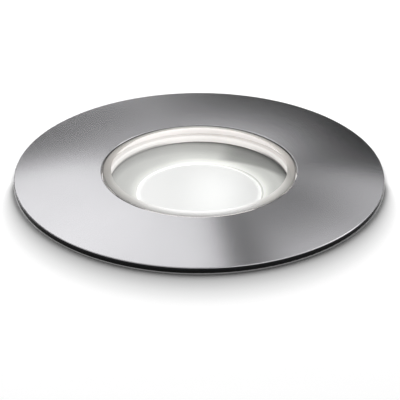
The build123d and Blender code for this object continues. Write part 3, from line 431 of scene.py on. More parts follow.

# %% [markdown]
# The reflector is satin metal, turned, and it is lit by the disc next to it. That light is
# painted in: a halo round the disc, brighter on the right and at the back, which gets lost
# towards the dark gap under the seal. The base colour carries painted shade too: it darkens
# towards the rim and the gap under the seal, and four soft crescents of painted shade darken
# it further. Each is what lies between two circles round a shifted middle, and the last one
# keeps to one side.

# %% Make the satin of the reflector
satin_color = (0.9, 0.9, 0.87)
tree, shader = new_finish("satin_reflector", satin_color, 0.38, 1.0)
add_relief(tree, shader, place_group(tree, rings, Spacing=0.3, Waver=0.8), 0.006, 0.3)
# painted shade: the base colour darkens from the disc out to the gap under the seal
metal = radial_ramp(tree, [
    (18.4, 1.0), (19.4, 0.95), (21.0, 0.78), (24.0, 0.7), (26.3, 0.62), (26.7, 0.25),
    (27.4, 0.2),
])
halo = radial_ramp(tree, [
    (18.4, 0.42), (19.5, 0.24), (21.0, 0.15), (22.5, 0.1), (24.5, 0.12), (26.0, 0.07),
    (26.6, 0.0), (27.4, 0.0),
])
# each crescent: middle, radius where it starts and is full, what it leaves, azimuth
crescents = [
    ((-0.5, -0.3), 25.8, 26.8, 0.7, None), ((-0.5, -2.2), 24.4, 26.6, 0.75, None),
    ((0.5, -0.1), 18.85, 18.6, 0.6, None), ((0.0, -8.0), 27.5, 29.0, 0.52, 41),
]
# the crescents multiply into one painted shadow on the base colour and on the painted halo
level = flattened(tree)
shadow = 1.0
for (x, y), start, full, left, azimuth in crescents:
    aside = on_vectors(tree, "DISTANCE", level, (x * mm, y * mm, 0))
    crescent = remap(tree, aside, start * mm, full * mm, 1.0, left, smooth=True)
    if azimuth is not None:
        there = wedge_mask(tree, azimuth, 0.8, 0.95)
        crescent = new_node(tree, "Mix", data_type="FLOAT", Factor=there, A=1.0, B=crescent)
    shadow = times(tree, shadow, crescent)
coat = place_group(tree, mottle, Color=(*satin_color, 1), Size=12.0, Amount=0.05)
fill(
    tree, shader, Base_Color=tinted(tree, tinted(tree, coat, metal), shadow),
    Emission_Color=tinted(tree, tinted(tree, coat, halo), shadow),
)
to_the_right = part_of(tree, object_place(tree), "X")
brighter = remap(tree, to_the_right, -25.0 * mm, 25.0 * mm, 0.75, 2.6)
at_back = wedge_mask(tree, 85, 0.75)
fill(tree, shader, Emission_Strength=calculate(tree, "ADD", brighter, at_back))
print("reflector:", len(crescents), "crescents,", len(tree.nodes), "nodes")

# %% [markdown]
# The other metals are plain. The cast aluminium is darker near its core and lighter at the
# tips of the fins.

# %% Make the metals of the smaller parts
steel_finish("fastener_steel", (0.58, 0.58, 0.58), 0.32, 0.25, 0.6, 0.004, 3.0)
steel_finish("spring_steel", (0.5, 0.5, 0.5), 0.3, 0.4, 0.5, 0.003, 8.0)
tree, shader = new_finish("copper_winding", (0.72, 0.32, 0.14), 0.3, 1.0)
add_tone(tree, shader, 1.0, 0.25)
tree, shader = moulded_finish(
    "die_cast", (0.34, 0.35, 0.36), 0.48, 0.35, 0.03, 0.14, metallic=0.85
)
core_to_tips = radial_ramp(tree, [
    (30.0, 0.62), (33.5, 0.72), (36.8, 0.95), (38.0, 1.3), (38.4, 1.5), (40.0, 1.2),
])
tint_base(tree, shader, core_to_tips)
print("metals:", list(finishes))

# %% [markdown]
# The glass is thick and clear, so it is a plain transmitting shader with the index of float
# glass. Only its bevel is ground matt, which a mask by radius and height picks out. The
# bevel has an olive tint, and a painted shade darkens it at its foot and towards the left and
# the right. A painted glow lights it at the front, where it gathers the light of the disc.

# %% Make the clear glass
glass_color = (0.985, 0.995, 0.99)
bevel_roughness = 0.45
bevel_tint = (0.98, 0.97, 0.92, 1)
tree, shader = new_finish(
    "clear_glass", glass_color, 0.0, Transmission_Weight=1.0, IOR=1.5,
    Emission_Color=(1, 1, 1, 1),
)
window_edge = glass_radius - bevel_width + 0.02
wall_top = bevel_start - 0.05
past_window = calculate(tree, "GREATER_THAN", reach_of(tree, "Radius"), window_edge)
above_wall = calculate(tree, "GREATER_THAN", reach_of(tree, "Height"), wall_top)
ground = times(tree, past_window, above_wall)
fill(tree, shader, Roughness=times(tree, ground, bevel_roughness))
# painted shade: the bevel darkens at its foot and towards the left and the right
foot = radial_ramp(tree, [
    (26.0, 1.0), (26.6, 0.98), (27.4, 0.7), (28.2, 0.5), (28.4, 0.12), (28.7, 0.12),
])
sideways = calculate(tree, "SUBTRACT", part_of(tree, heading(tree), "X"), 0.12)
far_aside = calculate(tree, "POWER", sideways, 2.0)
olive = tinted(tree, bevel_tint, remap(tree, far_aside, 0.0, 1.0, 1.0, 0.5))
shaded_bevel_color = tinted(tree, foot, olive)
fill(tree, shader, Base_Color=blended(tree, ground, (*glass_color, 1), shaded_bevel_color))
# painted glow: the bevel lights up at the front and a little at its flanks
forward = part_of(tree, heading(tree), "Y")
front = remap(tree, forward, -0.65, -1.0, high=0.85, smooth=True)
flank = remap(tree, forward, 0.0, -0.45, high=0.3, smooth=True)
both = calculate(tree, "ADD", front, flank)
painted_edge_glow = times(tree, both, ground)
fading = radial_ramp(tree, [(26.0, 0.75), (26.8, 0.55), (27.8, 0.3), (28.7, 0.25)])
fill(tree, shader, Emission_Strength=times(tree, painted_edge_glow, fading))
print("glass:", len(tree.nodes), "nodes")

# %% [markdown]
# The seal round the glass is white silicone. The light it passes on is painted in as a glow
# by height, with a dark line just under the glass, and two low painted shadows lie on its
# ledge, one on the right and a fainter one at the back on the left. The disc is an opal
# plastic that the chips light from behind: it is brightest in an oval at its middle and
# along its rim.

# %% Make the silicone and the opal plastic
tree, shader = moulded_finish(
    "white_silicone", (0.82, 0.8, 0.78), 0.45, 0.6, 0.01, 0.05,
    Emission_Color=(1, 0.95, 0.93, 1),
)
# painted glow by height, with a painted dark line just under the glass's underside
lit = radial_ramp(tree, [
    (seal_bottom, 0.6), (glass_bottom - 0.06, 0.66), (glass_bottom - 0.01, 0.22),
    (glass_bottom + 0.1, 0.55), (glass_bottom + 2.4, 0.56), (flange_bottom - 1.0, 0.8),
    (flange_bottom, 0.8),
], "Height")
# painted shadows on the ledge: one on the right, a fainter one at the back on the left
ledge = radial_ramp(tree, [
    (seal_bottom, 1.0), (seal_bottom + 0.35, 0.9), (seal_bottom + 0.8, 0.2),
    (glass_bottom + 0.3, 0.0), (0.0, 0.0),
], "Height")
kept = 1.0
for azimuth, start, full, left in ((17, 0.78, 0.99, 0.12), (140, 0.8, 0.97, 0.35)):
    low_there = times(tree, wedge_mask(tree, azimuth, start, full), ledge)
    kept = times(tree, kept, remap(tree, low_there, 0.0, 1.0, 1.0, left))
tint_base(tree, shader, kept)
fill(tree, shader, Emission_Strength=times(tree, lit, kept))

oval_squeeze = (1, 0.45, 0)
oval_shift = (-5.0 * mm, 0, 0)
tree, shader = new_finish(
    "opal_plastic", (0.9, 0.9, 0.9), 0.4, Emission_Color=(1, 1, 1, 1)
)
oval = on_vectors(tree, "MULTIPLY_ADD", object_place(tree), oval_squeeze, oval_shift)
off_middle = on_vectors(tree, "LENGTH", oval)
middle = remap(tree, off_middle, 0.0, 15.0 * mm, 0.66, 0.39, smooth=True)
rim = radial_ramp(tree, [(0.0, 0.0), (17.2, 0.0), (17.6, 0.15), (18.6, 0.15)])
fill(tree, shader, Emission_Strength=calculate(tree, "ADD", middle, rim))
print("opal plastic:", len(tree.nodes), "nodes")

# %% [markdown]
# Everything else is rubber, moulded plastic or an electronic part. One helper makes them
# all; only colour, gloss, the size and depth of the grain, and the tone differ.

# %% Make the finishes of rubber and plastic
moulded_finish(
    "black_rubber", (0.01, 0.01, 0.011), 0.62, 0.4, 0.02, Specular_IOR_Level=0.25
)
moulded_finish("sleeve_black", (0.03, 0.03, 0.032), 0.42, 0.5, 0.03)
moulded_finish("gland_black", (0.025, 0.025, 0.026), 0.38, 0.4, 0.015)
moulded_finish("white_board", (0.86, 0.86, 0.84), 0.35, 1.0, 0.004, 0.04)
moulded_finish("led_chip", (0.85, 0.62, 0.12), 0.3, 0.5, 0.004, 0.1)
moulded_finish("thermal_pad", (0.35, 0.37, 0.42), 0.7, 0.5, 0.01, 0.1)
moulded_finish("white_cup", (0.8, 0.8, 0.77), 0.4, 0.8, 0.01, 0.05)
moulded_finish("green_board", (0.02, 0.16, 0.06), 0.3, 0.7, 0.006, 0.2)
moulded_finish("ferrite", (0.07, 0.07, 0.075), 0.6, 0.3, 0.02, 0.15)
moulded_finish("yellow_tape", (0.82, 0.6, 0.06), 0.25, 1.5, 0.004, 0.1)
moulded_finish("capacitor_sleeve", (0.02, 0.03, 0.08), 0.3, 0.8, 0.004)
moulded_finish("black_chip", (0.02, 0.02, 0.02), 0.5, 0.2, 0.005)
moulded_finish("terminal_green", (0.04, 0.3, 0.12), 0.4, 0.5, 0.006)
print(len(finishes), "finishes")

# %% [markdown]
# Every solid of the frame takes the finish of its slot in the record. Most of them keep
# their own shape, and the pieces after this step replace the ones that deserve more.

# %% Give every solid its finish
for row in frame["record"]["subparts"]:
    solid = nodes[row["node"]]
    solid.data.materials.clear()
    solid.data.materials.append(finishes[row["material_slot"]])
print("dressed", len(nodes), "solids")


# %% [markdown]
# Most pieces of the light are turned: a profile in the plane of X and Z, swept round the
# axis. The helper starts from the corners of the profile and lets `bmesh.ops.spin` sweep
# them. Its last ring is merged with the first, and the normals are made to point outwards.
# A profile that starts on the axis stays open there, because the sweep closes it.

# %% Write the helpers for turned pieces
merge_distance = 0.002
bevel_angle = math.radians(30)


def turned_shape(profile, steps=48):
    """A closed bmesh of revolution from (radius, height) corners in millimetres."""
    shape = bmesh.new()
    corners = [shape.verts.new((r * mm, 0, z * mm)) for r, z in profile]
    pairs = list(zip(corners, corners[1:]))
    if profile[0][0] > 0:
        pairs.append((corners[-1], corners[0]))
    edges = [shape.edges.new(pair) for pair in pairs]
    bmesh.ops.spin(
        shape, geom=corners + edges, cent=(0, 0, 0), axis=(0, 0, 1), dvec=(0, 0, 0),
        angle=2 * math.pi, steps=steps, use_merge=True, use_duplicate=False,
    )
    bmesh.ops.remove_doubles(shape, verts=shape.verts, dist=merge_distance * mm)
    bmesh.ops.recalc_face_normals(shape, faces=shape.faces)
    return shape


def new_object(shape, name):
    """Turns a bmesh into an object of the scene."""
    mesh = bpy.data.meshes.new(name)
    shape.to_mesh(mesh)
    shape.free()
    thing = bpy.data.objects.new(name, mesh)
    bpy.context.scene.collection.objects.link(thing)
    return thing


def finish_piece(shape, name, slot, body, bevel=0.0, segments=2, crease=6.0):
    """Turns a bmesh into a piece with its finish, and lets it ride on its body.

    Edges that turn by more than the crease angle, in degrees, stay sharp in the shading. A
    bevel width, in millimetres, softens edges that turn by more than the bevel angle.
    """
    for face in shape.faces:
        face.smooth = True
    for edge in shape.edges:
        edge.smooth = edge.calc_face_angle(0.0) < math.radians(crease)
    piece = new_object(shape, name)
    piece.data.materials.append(finishes[slot])
    if bevel:
        soften = piece.modifiers.new("soften", "BEVEL")
        soften.width = bevel * mm
        soften.segments = segments
        soften.limit_method = "ANGLE"
        soften.angle_limit = bevel_angle
        soften.harden_normals = True
    if body:
        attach(piece, body)
    return piece


print("helpers for turned pieces are ready")

# %% [markdown]
# The flange is a turned ring of steel, 110 mm across and 1 mm thick at its rim. Its outer
# edge is rounded, and the edge of its hole is only broken. The studs under it come later.

# %% Turn the flange
fall = crown - rim_top
run = flange_radius - flange_hole_radius
arc_radius = (run * run + fall * fall) / (2 * fall)
arc_steps = 16
face_line = []
for step in range(arc_steps + 1):
    out = run * step / arc_steps
    drop = arc_radius - math.sqrt(arc_radius ** 2 - out ** 2)
    face_line.append((flange_hole_radius + out, crown - drop))
flange_shape = turned_shape([
    (flange_hole_radius, flange_bottom), (flange_radius, flange_bottom), *face_line[::-1],
], steps=256)
flange = finish_piece(
    flange_shape, "flange_ring", "brushed_steel", "lamp", bevel=0.28, segments=4
)
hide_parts("trim_flange")
print("flange:", len(flange.data.polygons), "faces")

# %% [markdown]
# The glass is 8 mm thick, with a wide flat bevel that starts just under the flange's face.
# Its lower edge has a small chamfer. Its wall and its underside reach 0.02 mm into the
# white seal, so that light goes straight from the glass into the silicone, as it does where
# the two are bonded.

# %% Turn the glass
sunk = 0.02
chamfer = 0.4
glass_shape = turned_shape([
    (0.0, glass_bottom - sunk), (glass_radius - chamfer, glass_bottom - sunk),
    (glass_radius + sunk, glass_bottom + chamfer), (glass_radius + sunk, bevel_start),
    (glass_radius - bevel_width, glass_top), (0.0, glass_top),
], steps=256)
glass = finish_piece(
    glass_shape, "glass_disc", "clear_glass", "lamp", bevel=0.12, segments=3
)
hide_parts("glass_lens")
print("glass:", len(glass.data.polygons), "faces")

# %% [markdown]
# The diffuser is a shallow opal cup with a rounded rim, 1 mm thick, on a foot that stands
# on the board. Only its top shows, through the glass, and it is the brightest thing in the
# picture.

# %% Turn the diffuser
foot_radius = disc_radius + 1.2
foot_top = board_top + 0.8
inner_radius = disc_radius - 1
diffuser_shape = turned_shape([
    (0.0, disc_top + 0.05), (disc_radius - 0.8, disc_top),
    (disc_radius - 0.2, disc_top - 0.18), (disc_radius, disc_top - 0.6),
    (disc_radius, foot_top), (foot_radius, foot_top), (foot_radius, board_top),
    (inner_radius, board_top), (inner_radius, disc_top - 1), (0.0, disc_top - 1),
], steps=128)
diffuser = finish_piece(diffuser_shape, "opal_disc", "opal_plastic", "lamp", bevel=0.1)
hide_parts("diffuser")
print("diffuser:", len(diffuser.data.polygons), "faces")

# %% [markdown]
# The fasteners are turned too, and three things make them read as real ones: the hexagons
# have corners cut by a cone, the studs carry a thread, and the screws have a socket. A
# turned wall becomes a hexagon when its points are pushed out to six flats, and the cone is
# cut in the same step, because a corner that stands further out is lowered more.

# %% Write the helpers for fasteners
cone_share = 0.95  # a hexagon's cone starts at this share of its half width
cone_angle = math.radians(30)
slack = 0.01  # how far from a height a point may lie and still belong to it
thread_depth = 0.6  # in pitches


def make_hexagonal(shape, apothem, low, high, has_cone=True):
    """Pushes the turned wall of that radius out to six flats, cut by a cone at its ends."""
    for corner in shape.verts:
        x, y, z = (value / mm for value in corner.co)
        radius = math.hypot(x, y)
        if abs(radius - apothem) > slack / 2 or not low - slack < z < high + slack:
            continue
        off_flat = math.atan2(y, x) % (math.pi / 3) - math.pi / 6
        flat_radius = apothem / math.cos(off_flat)
        cut = max(0.0, flat_radius - apothem * cone_share) * math.tan(cone_angle)
        if has_cone and z > high - slack:
            z -= cut
        elif has_cone and z < low + slack:
            z += cut
        corner.co = Vector((x * flat_radius / radius, y * flat_radius / radius, z)) * mm


def close_holes(shape):
    """Fills every open edge loop and lets the faces point outwards."""
    open_edges = [edge for edge in shape.edges if edge.is_boundary]
    bmesh.ops.holes_fill(shape, edges=open_edges, sides=0)
    bmesh.ops.recalc_face_normals(shape, faces=shape.faces)


def threaded_rod(radius, pitch, low, high, steps=24):
    """A zigzag one pitch tall, swept along a helix and cut flat at both ends."""
    shape = bmesh.new()
    turns = math.ceil((high - low) / pitch) + 2
    start = low - pitch
    root = radius - thread_depth * pitch
    marks = [(radius, start), (root, start + pitch / 2), (radius, start + pitch)]
    points = [shape.verts.new((r * mm, 0, z * mm)) for r, z in marks]
    edges = [shape.edges.new(pair) for pair in zip(points, points[1:])]
    bmesh.ops.spin(
        shape, geom=points + edges, cent=(0, 0, 0), axis=(0, 0, 1),
        dvec=(0, 0, pitch * mm / steps), angle=2 * math.pi * turns, steps=steps * turns,
        use_merge=False, use_duplicate=False,
    )
    bmesh.ops.remove_doubles(shape, verts=shape.verts, dist=0.005 * mm)
    for height, direction in ((low, -1), (high, 1)):
        everything = list(shape.verts) + list(shape.edges) + list(shape.faces)
        bmesh.ops.bisect_plane(
            shape, geom=everything, dist=1e-8, plane_co=(0, 0, height * mm),
            plane_no=(0, 0, direction), clear_outer=True,
        )
    close_holes(shape)
    return shape


print("helpers for fasteners are ready")


# %% [markdown]
# A fastener is made once and copied to its places, which are often spaced evenly on a
# circle. The pan-head screws differ in their sizes only, so one function makes them all.

# %% Write the helpers for screws and copies
def copies(shape, places):
    """One bmesh with a copy of the shape at each matrix."""
    single = bpy.data.meshes.new("single")
    shape.to_mesh(single)
    shape.free()
    whole = bmesh.new()
    for place in places:
        moved = single.copy()
        moved.transform(place)
        whole.from_mesh(moved)
        bpy.data.meshes.remove(moved)
    bpy.data.meshes.remove(single)
    return whole


def around(radius, count, first, height=0.0):
    """Places on a circle, each turned so that its own X points outwards."""
    return [
        Matrix.Rotation(math.radians(first + 360 / count * step), 4, "Z")
        @ Matrix.Translation(Vector((radius, 0, height)) * mm)
        for step in range(count)
    ]


def pan_head_screw(radius, head_radius, head_height, length, socket):
    """A screw along Z: its head is above zero, with a hexagon socket, and its shank below."""
    floor_height, break_width, point = 0.15, 0.15, 0.25
    socket_top = head_height - break_width
    shape = turned_shape([
        (0.0, floor_height), (socket, floor_height), (socket, socket_top),
        (socket + break_width, head_height), (head_radius * 0.72, head_height),
        (head_radius * 0.9, head_height * 0.88), (head_radius * 0.98, head_height * 0.66),
        (head_radius, head_height * 0.4), (head_radius, 0.0), (radius, 0.0),
        (radius, point - length), (radius - point, -length), (0.0, -length),
    ])
    make_hexagonal(shape, socket, floor_height, socket_top, has_cone=False)
    return shape


print("helpers for screws and copies are ready")

# %% [markdown]
# Three threaded studs are welded under the flange and hold the housing against it. Each has
# a washer with rounded edges and a hexagon nut whose bore opens in a small cone.

# %% Make the studs, washers and nuts
stud_circle, stud_count, first_stud = 36.9, 3, 90
stud_radius, stud_pitch, stud_tip = 1.5, 0.5, -7.4
washer_top, washer_bottom, nut_bottom = -3.0, -3.5, -5.9
washer_radius, washer_bore, washer_round = 3.3, 1.75, 0.12
nut_half, nut_bore, bore_cone = 2.75, 1.62, 0.25
stud_places = around(stud_circle, stud_count, first_stud)
rod = threaded_rod(stud_radius, stud_pitch, stud_tip, flange_bottom)
studs = finish_piece(
    copies(rod, stud_places), "threaded_studs", "fastener_steel", "lamp", crease=40
)
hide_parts("trim_studs")
washer = turned_shape([
    (washer_bore, washer_bottom), (washer_radius - washer_round, washer_bottom),
    (washer_radius, washer_bottom + washer_round),
    (washer_radius, washer_top - washer_round),
    (washer_radius - washer_round, washer_top), (washer_bore, washer_top),
])
washers = finish_piece(
    copies(washer, stud_places), "flat_washers", "fastener_steel", "lamp", crease=30
)
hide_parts("trim_washers")
nut_mouth, nut_face = nut_bore + bore_cone, nut_half * cone_share
nut = turned_shape([
    (nut_bore, nut_bottom + bore_cone), (nut_mouth, nut_bottom), (nut_face, nut_bottom),
    (nut_half, nut_bottom), (nut_half, washer_bottom), (nut_face, washer_bottom),
    (nut_mouth, washer_bottom), (nut_bore, washer_bottom - bore_cone),
])
make_hexagonal(nut, nut_half, nut_bottom, washer_bottom)
nuts = finish_piece(
    copies(nut, stud_places), "hexagon_nuts", "fastener_steel", "lamp", crease=20
)
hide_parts("trim_nuts")
print("studs:", len(studs.data.polygons), "faces; nuts:", len(nuts.data.polygons), "faces")

# %% [markdown]
# The same pan-head screw holds the rear cover and, a size smaller, the two spring brackets.
# It is made once for each size, pointing up, and its places turn it to where it goes.

# %% Make the screws
cover_bottom = -66.26
rear_circle = 34.8
rear_screw = pan_head_screw(1.5, 2.7, 1.95, 7.4, 1.17)
downwards = Matrix.Rotation(math.pi, 4, "X")
rear_places = [place @ downwards for place in around(rear_circle, 4, 45, cover_bottom)]
rear_set = finish_piece(
    copies(rear_screw, rear_places), "rear_pan_screws", "fastener_steel", "lamp", crease=35
)
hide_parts("rear_screws")
bracket_face = 34.8
bracket_screw_height = -37.2
bracket_screw_offset = 3.1
for side, turn in sides:
    small_screw = pan_head_screw(1.25, 2.25, 1.625, 3.8, 0.97)
    small_places = [
        Matrix.Rotation(math.radians(turn), 4, "Z")
        @ Matrix.Translation(Vector((bracket_face, offset, bracket_screw_height)) * mm)
        @ Matrix.Rotation(math.pi / 2, 4, "Y")
        for offset in (-bracket_screw_offset, bracket_screw_offset)
    ]
    pair = finish_piece(
        copies(small_screw, small_places), f"bracket_screws_{side}", "fastener_steel", "lamp",
        crease=35,
    )
    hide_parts(f"clip_bracket_screws_{side}")
print("rear screws:", len(rear_set.data.polygons), "faces")

# %% [markdown]
# The cable gland is moulded nylon. Its body is a hexagon between a threaded spigot and a
# plain skirt, and the nut below has a second hexagon that runs out into a dome.

# %% Make the cable gland
hexagon_half = 7.5
hexagon_face = hexagon_half * cone_share
gland_hex_top, gland_hex_bottom, skirt_bottom = -67.26, -71.26, -77.76
spigot_top, insert_seat = -56.46, -72.26
gland_bore, spigot_radius, skirt_radius, insert_radius = 4.0, 6.0, 6.4, 5.0
body_shape = turned_shape([
    (gland_bore, spigot_top), (spigot_radius - 0.4, spigot_top),
    (spigot_radius, spigot_top - 0.4), (spigot_radius, gland_hex_top),
    (hexagon_face, gland_hex_top), (hexagon_half, gland_hex_top),
    (hexagon_half, gland_hex_bottom), (hexagon_face, gland_hex_bottom),
    (skirt_radius, gland_hex_bottom), (skirt_radius, skirt_bottom + 0.3),
    (skirt_radius - 0.3, skirt_bottom), (insert_radius, skirt_bottom),
    (insert_radius, insert_seat), (gland_bore, insert_seat),
], steps=96)
make_hexagonal(body_shape, hexagon_half, gland_hex_bottom, gland_hex_top)
gland_body = finish_piece(
    body_shape, "gland_body_moulded", "gland_black", "lamp", crease=25
)
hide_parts("gland_body")
nut_top, nut_straight, nut_low = -71.46, -78.46, -81.96
nut_inside, cable_hole, mouth_radius = 6.44, 4.2, 5.2
cone_top, cone_bottom = -77.96, -80.46
dome_steps = 8
dome = []
for step in range(1, dome_steps + 1):
    angle = math.radians(90 * step / dome_steps)
    dome.append((
        mouth_radius + (hexagon_face - mouth_radius) * math.cos(angle),
        nut_straight + (nut_low - nut_straight) * math.sin(angle),
    ))
nut_shape = turned_shape([
    (nut_inside, nut_top), (hexagon_face, nut_top), (hexagon_half, nut_top),
    (hexagon_half, nut_straight), (hexagon_face, nut_straight), *dome,
    (cable_hole + 0.2, nut_low), (cable_hole, nut_low + 0.2), (cable_hole, cone_bottom),
    (mouth_radius, cone_bottom), (nut_inside, cone_top),
], steps=96)
make_hexagonal(nut_shape, hexagon_half, nut_straight, nut_top)
gland_nut = finish_piece(nut_shape, "gland_nut_moulded", "gland_black", "lamp", crease=25)
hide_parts("gland_nut")
print("gland nut:", len(gland_nut.data.polygons), "faces")

# %% [markdown]
# Each lever is pushed out by a torsion spring: a coil on the lever's pin, whose two ends
# stand up as straight legs. One leg leans on the bracket and the other on the lever.

# %% Wind the springs
wire_radius = 0.3
coil_radius = 1.6
coil_turns = 5.5
coil_length = 4.125
leg_length = 6.0
pivot_x, pivot_z = 36.95, -30.0
coil_steps = 20
wire_sides = 12


def push_ring(shape, ring, shift):
    """Extrudes a ring of edges by a shift in millimetres; returns the new ring."""
    result = bmesh.ops.extrude_edge_only(shape, edges=ring)
    points = [item for item in result["geom"] if isinstance(item, bmesh.types.BMVert)]
    bmesh.ops.translate(shape, verts=points, vec=Vector(shift) * mm)
    return [edge for edge in shape.edges if all(end in points for end in edge.verts)]


def torsion_spring():
    """The spring of the right-hand lever, from its moving leg round to its fixed one."""
    shape = bmesh.new()
    bmesh.ops.create_circle(
        shape, cap_ends=False, radius=wire_radius * mm, segments=wire_sides
    )
    top = (pivot_x + coil_radius, -coil_length / 2, pivot_z + leg_length)
    bmesh.ops.translate(shape, verts=shape.verts, vec=Vector(top) * mm)
    ring = push_ring(shape, list(shape.edges), (0, 0, -leg_length))
    points = list({point for edge in ring for point in edge.verts})
    steps = round(coil_steps * coil_turns)
    result = bmesh.ops.spin(
        shape, geom=points + ring, cent=Vector((pivot_x, 0, pivot_z)) * mm, axis=(0, 1, 0),
        dvec=Vector((0, coil_length / steps, 0)) * mm, angle=2 * math.pi * coil_turns,
        steps=steps, use_merge=False, use_duplicate=False,
    )
    last = [item for item in result["geom_last"] if isinstance(item, bmesh.types.BMEdge)]
    push_ring(shape, last, (0, 0, leg_length))
    bmesh.ops.remove_doubles(shape, verts=shape.verts, dist=merge_distance * mm)
    close_holes(shape)
    return shape


for side, turn in sides:
    wound = torsion_spring()
    facing_side = Matrix.Rotation(math.radians(turn), 4, "Z")
    bmesh.ops.transform(wound, matrix=facing_side, verts=wound.verts)
    spring = finish_piece(wound, f"torsion_spring_{side}", "spring_steel", None, crease=40)
    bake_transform(spring)
    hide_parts(f"clip_spring_{side}")
print("each spring:", len(spring.data.polygons), "faces")

# %% [markdown]
# Cast, moulded and stamped pieces have no knife edges. Where the solid of the frame already
# has the right shape, a copy of it is merged and its flat triangles are joined. Then every
# sharp edge that isn't shorter than a limit is bevelled, so that it catches a thin line of
# light. The limit keeps the bevel off the tiny edges of small holes, which would overlap.

# %% Soften the edges of the solids
sharp_angle = math.radians(35)
flat_angle = math.radians(0.5)


def softened_copy(node, name, slot, body, width, shortest):
    """A copy of a solid whose longer sharp edges are bevelled; sizes are in millimetres."""
    shape = bmesh.new()
    shape.from_mesh(nodes[node].data)
    bmesh.ops.remove_doubles(shape, verts=shape.verts, dist=merge_distance / 2 * mm)
    bmesh.ops.dissolve_limit(
        shape, angle_limit=flat_angle, use_dissolve_boundaries=False,
        verts=shape.verts, edges=shape.edges, delimit=set(),
    )
    hard = [
        edge for edge in shape.edges
        if edge.calc_face_angle(0.0) > sharp_angle and edge.calc_length() >= shortest * mm
    ]
    bmesh.ops.bevel(
        shape, geom=hard, offset=width * mm, offset_type="OFFSET", segments=2, profile=0.5,
        affect="EDGES", clamp_overlap=False, material=-1,
    )
    piece = finish_piece(shape, name, slot, body, crease=20)
    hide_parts(node)
    return piece


# each row: node, name, slot, body, width of the bevel, shortest edge that gets one
softened = [
    ("housing", "finned_housing", "die_cast", "lamp", 0.2, 1.0),
    ("rear_cover", "rear_cover_cast", "die_cast", "lamp", 0.2, 1.0),
    ("mounting_sleeve", "sleeve_wall", "sleeve_black", "sleeve", 0.25, 1.0),
    ("sleeve_base", "sleeve_floor", "sleeve_black", "sleeve", 0.2, 1.0),
    ("vent_plug", "vent_plug_moulded", "gland_black", "lamp", 0.12, 0.0),
    ("gland_locknut", "locknut_moulded", "gland_black", "lamp", 0.2, 0.0),
    ("clip_pin_right", "lever_pin_right", "fastener_steel", "lamp", 0.12, 0.0),
    ("clip_pin_left", "lever_pin_left", "fastener_steel", "lamp", 0.12, 0.0),
    ("clip_bracket_right", "spring_bracket_right", "spring_steel", "lamp", 0.08, 1.0),
    ("clip_bracket_left", "spring_bracket_left", "spring_steel", "lamp", 0.08, 1.0),
    ("clip_lever_right", "spring_lever_right", "spring_steel", "lever_right", 0.08, 1.0),
    ("clip_lever_left", "spring_lever_left", "spring_steel", "lever_left", 0.08, 1.0),
]
for node, name, slot, body, width, shortest in softened:
    piece = softened_copy(node, name, slot, body, width, shortest)
    print(name, len(piece.data.polygons), "faces")

# %% [markdown]
# The light is lit like a product on a white table. The floor is cut out round the sleeve,
# because the light hangs in the ground. From above it is solid and keeps the shadow; from
# below it lets the camera and the light through, so that the buried part can be looked at.

# %% Lay the floor
cut_out_radius = 47.6
floor_growth = 60
shape = bmesh.new()
bmesh.ops.create_circle(shape, cap_ends=False, radius=cut_out_radius * mm, segments=128)
wide = bmesh.ops.extrude_edge_only(shape, edges=list(shape.edges))
outer = [item for item in wide["geom"] if isinstance(item, bmesh.types.BMVert)]
bmesh.ops.scale(shape, vec=(floor_growth, floor_growth, 1), verts=outer)
bmesh.ops.recalc_face_normals(shape, faces=shape.faces)
if sum(face.normal.z for face in shape.faces) < 0:
    bmesh.ops.reverse_faces(shape, faces=shape.faces)
floor = new_object(shape, "floor")
print("floor:", len(floor.data.polygons), "faces")

# %% [markdown]
# The floor's colour carries a painted shadow: it gets darker towards the front of the flange,
# in the wide soft shade that the light stands in. The painted shade is 19 mm deep straight in
# front, gets narrow towards the sides, and ends just behind them. A little glow of its own
# keeps the floor from turning grey.

# %% Make the floor's shade
shade_depth = 18.0
pale_floor = bpy.data.materials.new("pale_floor")
pale_floor.use_nodes = True
tree = pale_floor.node_tree
tree.nodes.remove(tree.nodes["Principled BSDF"])
outside = calculate(tree, "SUBTRACT", reach_of(tree, "Radius"), flange_radius)
forward = part_of(tree, heading(tree), "Y")
width = calculate(tree, "MULTIPLY_ADD", forward, -shade_depth, 1.0)
width = calculate(tree, "MAXIMUM", width, 1.0)
depth = calculate(tree, "DIVIDE", outside, width, use_clamp=True)
# painted shadow: the floor's colour darkens outside the flange's rim, most in front
shade = grey_ramp(tree, depth, [
    (0.0, 1.0), (0.004, 0.33), (0.1, 0.37), (0.2, 0.49), (0.3, 0.58), (0.42, 0.68),
    (0.53, 0.76), (0.65, 0.83), (0.8, 0.92), (1.0, 1.0),
])
in_front = remap(tree, forward, 0.05, -0.12, smooth=True)
shaded_floor_color = blended(tree, in_front, (1, 1, 1, 1), shade)
matte = new_node(tree, "BsdfDiffuse", Color=shaded_floor_color)
lift = new_node(tree, "Emission", Color=shaded_floor_color, Strength=0.06)
both = new_node(tree, "AddShader", matte, lift)
clear = new_node(tree, "BsdfTransparent")
from_below = new_node(tree, "NewGeometry").outputs["Backfacing"]
choose = new_node(tree, "MixShader", from_below, both, clear)
fill(tree, tree.nodes["Material Output"], Surface=choose)
floor.data.materials.append(pale_floor)
print("floor's finish:", len(tree.nodes), "nodes")


# %% [markdown]
# The room is white to the camera. What the steel mirrors is a dark studio with soft panels
# overhead. A direction is looked up where it would cross a ceiling one unit above the
# light, so that every panel is a soft-edged rectangle there. One group makes any of them.

# %% Build the soft panel
panel, enter, leave = new_group(
    "panel",
    dict(
        Across=0.0, Along=0.0, Left=-1.0, Right=1.0, Near=0.0, Far=1.0, Soft=0.06,
        Radiance=1.0,
    ),
    ["Value"],
)


